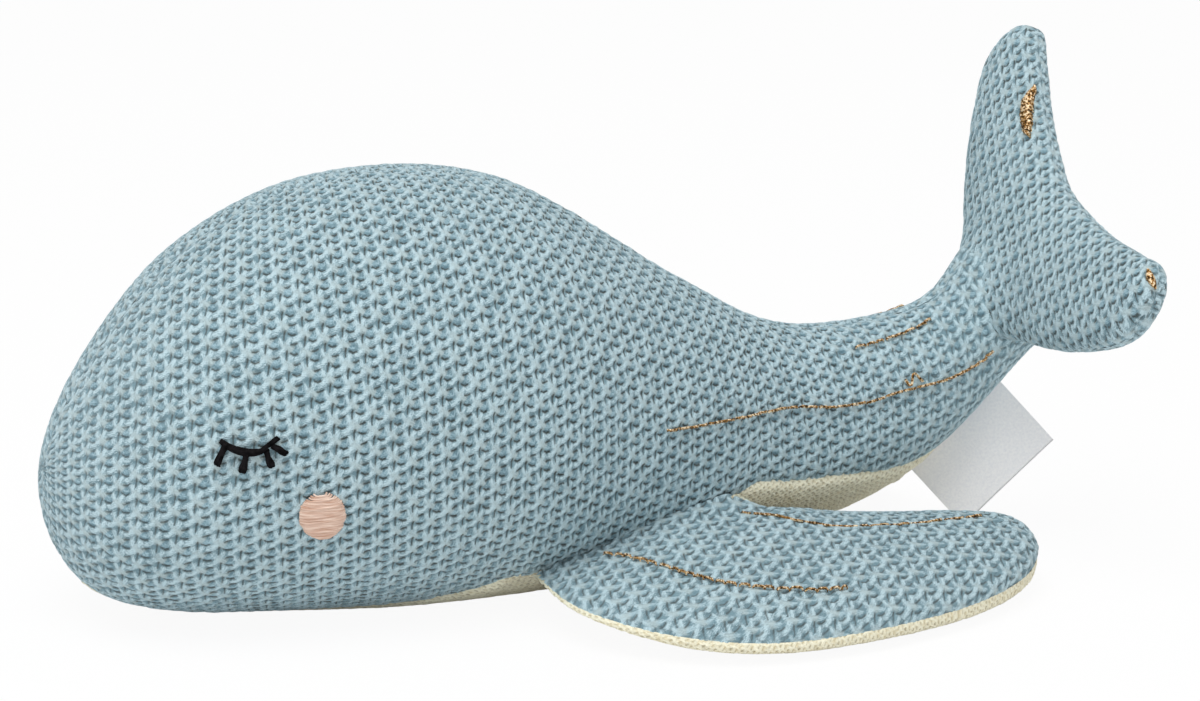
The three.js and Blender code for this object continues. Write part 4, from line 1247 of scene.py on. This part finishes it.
def rimThread(name, form, span):
    u = np.linspace(*span, 420)
    line = throughPoints(form.rim, u, form.looped)
    middle = form.at(0.5, math.pi / 2, 0.0, 20.0)
    inward = unit(np.cross(np.gradient(line, axis=0), form.face))
    inward = inward * np.sign(inward[210] @ (middle - line[210]))
    line = line + inward * sewing["rimInset"]
    paths = lockStitch(line, np.broadcast_to(form.face, line.shape))
    piece = dress(threadMesh(name, paths, sewing["thread"], 1), "sewing_thread", name)
    bendWith(piece, form)


makeWadding()
for name, first, last, angle, side in (
        ("dorsal_seam_thread", 0.1, 0.985, 0.0, -1), ("chin_seam_thread", 0.1, 0.15, math.pi, -1),
        ("undertail_seam_thread", 0.912, 0.985, math.pi, -1),
        ("left_belly_seam_thread", 0.2, 0.87, None, -1), ("right_belly_seam_thread", 0.2, 0.87, None, 1)):
    s = np.linspace(first, last, 40 + int(520 * (last - first)))
    seamThread(name, s, seamAngle(s) if angle is None else 0 * s + angle, side)
for word in ("left", "right"):
    formWadding(f"{word}_fin_stuffing", fin[word], (0.12, 0.93))
    rimThread(f"{word}_fin_rim_thread", fin[word], (0.13, 0.87))
formWadding("fluke_stuffing", tailFluke, (0.05, 0.95))
rimThread("fluke_rim_thread", tailFluke, (0.14, -0.64))
print("wadding and sewing thread in place")


# Camera, light and floor
studio = {
    "eye": (-302.3, -914.2, 275.3), "aim": (10.0, 12.35, 57.0), "lens": 112.8,
    "key": [(-0.42, -0.5, 1.6), 1.2, 17.8],  # place and size in metres, power
    "fill": [(-0.6, -1.4, 0.2), 1.0, 2.0],
    "sky": 0.54, "white": 0.94, "floor": 8, "pale": (0.95, 0.95, 0.95, 1),
}
camera = bpy.data.objects.new("camera", bpy.data.cameras.new("camera"))
scene.collection.objects.link(camera)
camera.location = np.array(studio["eye"]) * mm
lookAlong = Vector(np.array(studio["aim"]) - studio["eye"])
camera.rotation_euler = lookAlong.to_track_quat("-Z", "Y").to_euler()
camera.data.lens = studio["lens"]
camera.data.clip_start = 0.05
scene.camera = camera


def softbox(name, place, size, power):
    lamp = bpy.data.objects.new(name, bpy.data.lights.new(name, "AREA"))
    lamp.data.shape = "SQUARE"
    lamp.data.size = size
    lamp.data.energy = power
    lamp.location = place
    lamp.rotation_euler = (Vector((0, 0, 0.05)) - lamp.location).to_track_quat("-Z", "Y").to_euler()
    scene.collection.objects.link(lamp)


softbox("key softbox", *studio["key"])
softbox("fill softbox", *studio["fill"])
world = scene.world or bpy.data.worlds.new("studio")
scene.world = world
world.use_nodes = True
sky = world.node_tree.nodes["Background"].inputs
sky["Color"].default_value = (1, 1, 1, 1)
sky["Strength"].default_value = studio["sky"]

bpy.ops.mesh.primitive_plane_add(size=studio["floor"], location=(0, 0, 0))
floor = bpy.context.active_object
floor.name = "floor"
paleFloor = Finish("pale floor", Roughness=0.9)
paleFloor.shader.inputs["Base Color"].default_value = studio["pale"]
white = paleFloor.node("ShaderNodeEmission", None, {"Color": (1, 1, 1, 1), "Strength": 1.0})
rays = ("Is Camera Ray", "Is Glossy Ray", "Is Transmission Ray")
seen = [paleFloor.node("ShaderNodeLightPath", None, None, ray) for ray in rays]
share = (seen[0] + seen[1] + seen[2]) * studio["white"]
lit = Value(paleFloor, paleFloor.shader.outputs[0])
mixed = paleFloor.node("ShaderNodeMixShader", None, {0: share, 1: lit, 2: white})
paleFloor.tree.links.new(mixed.socket, paleFloor.tree.nodes["Material Output"].inputs["Surface"])
floor.data.materials.append(paleFloor.material)

print("whale finished")
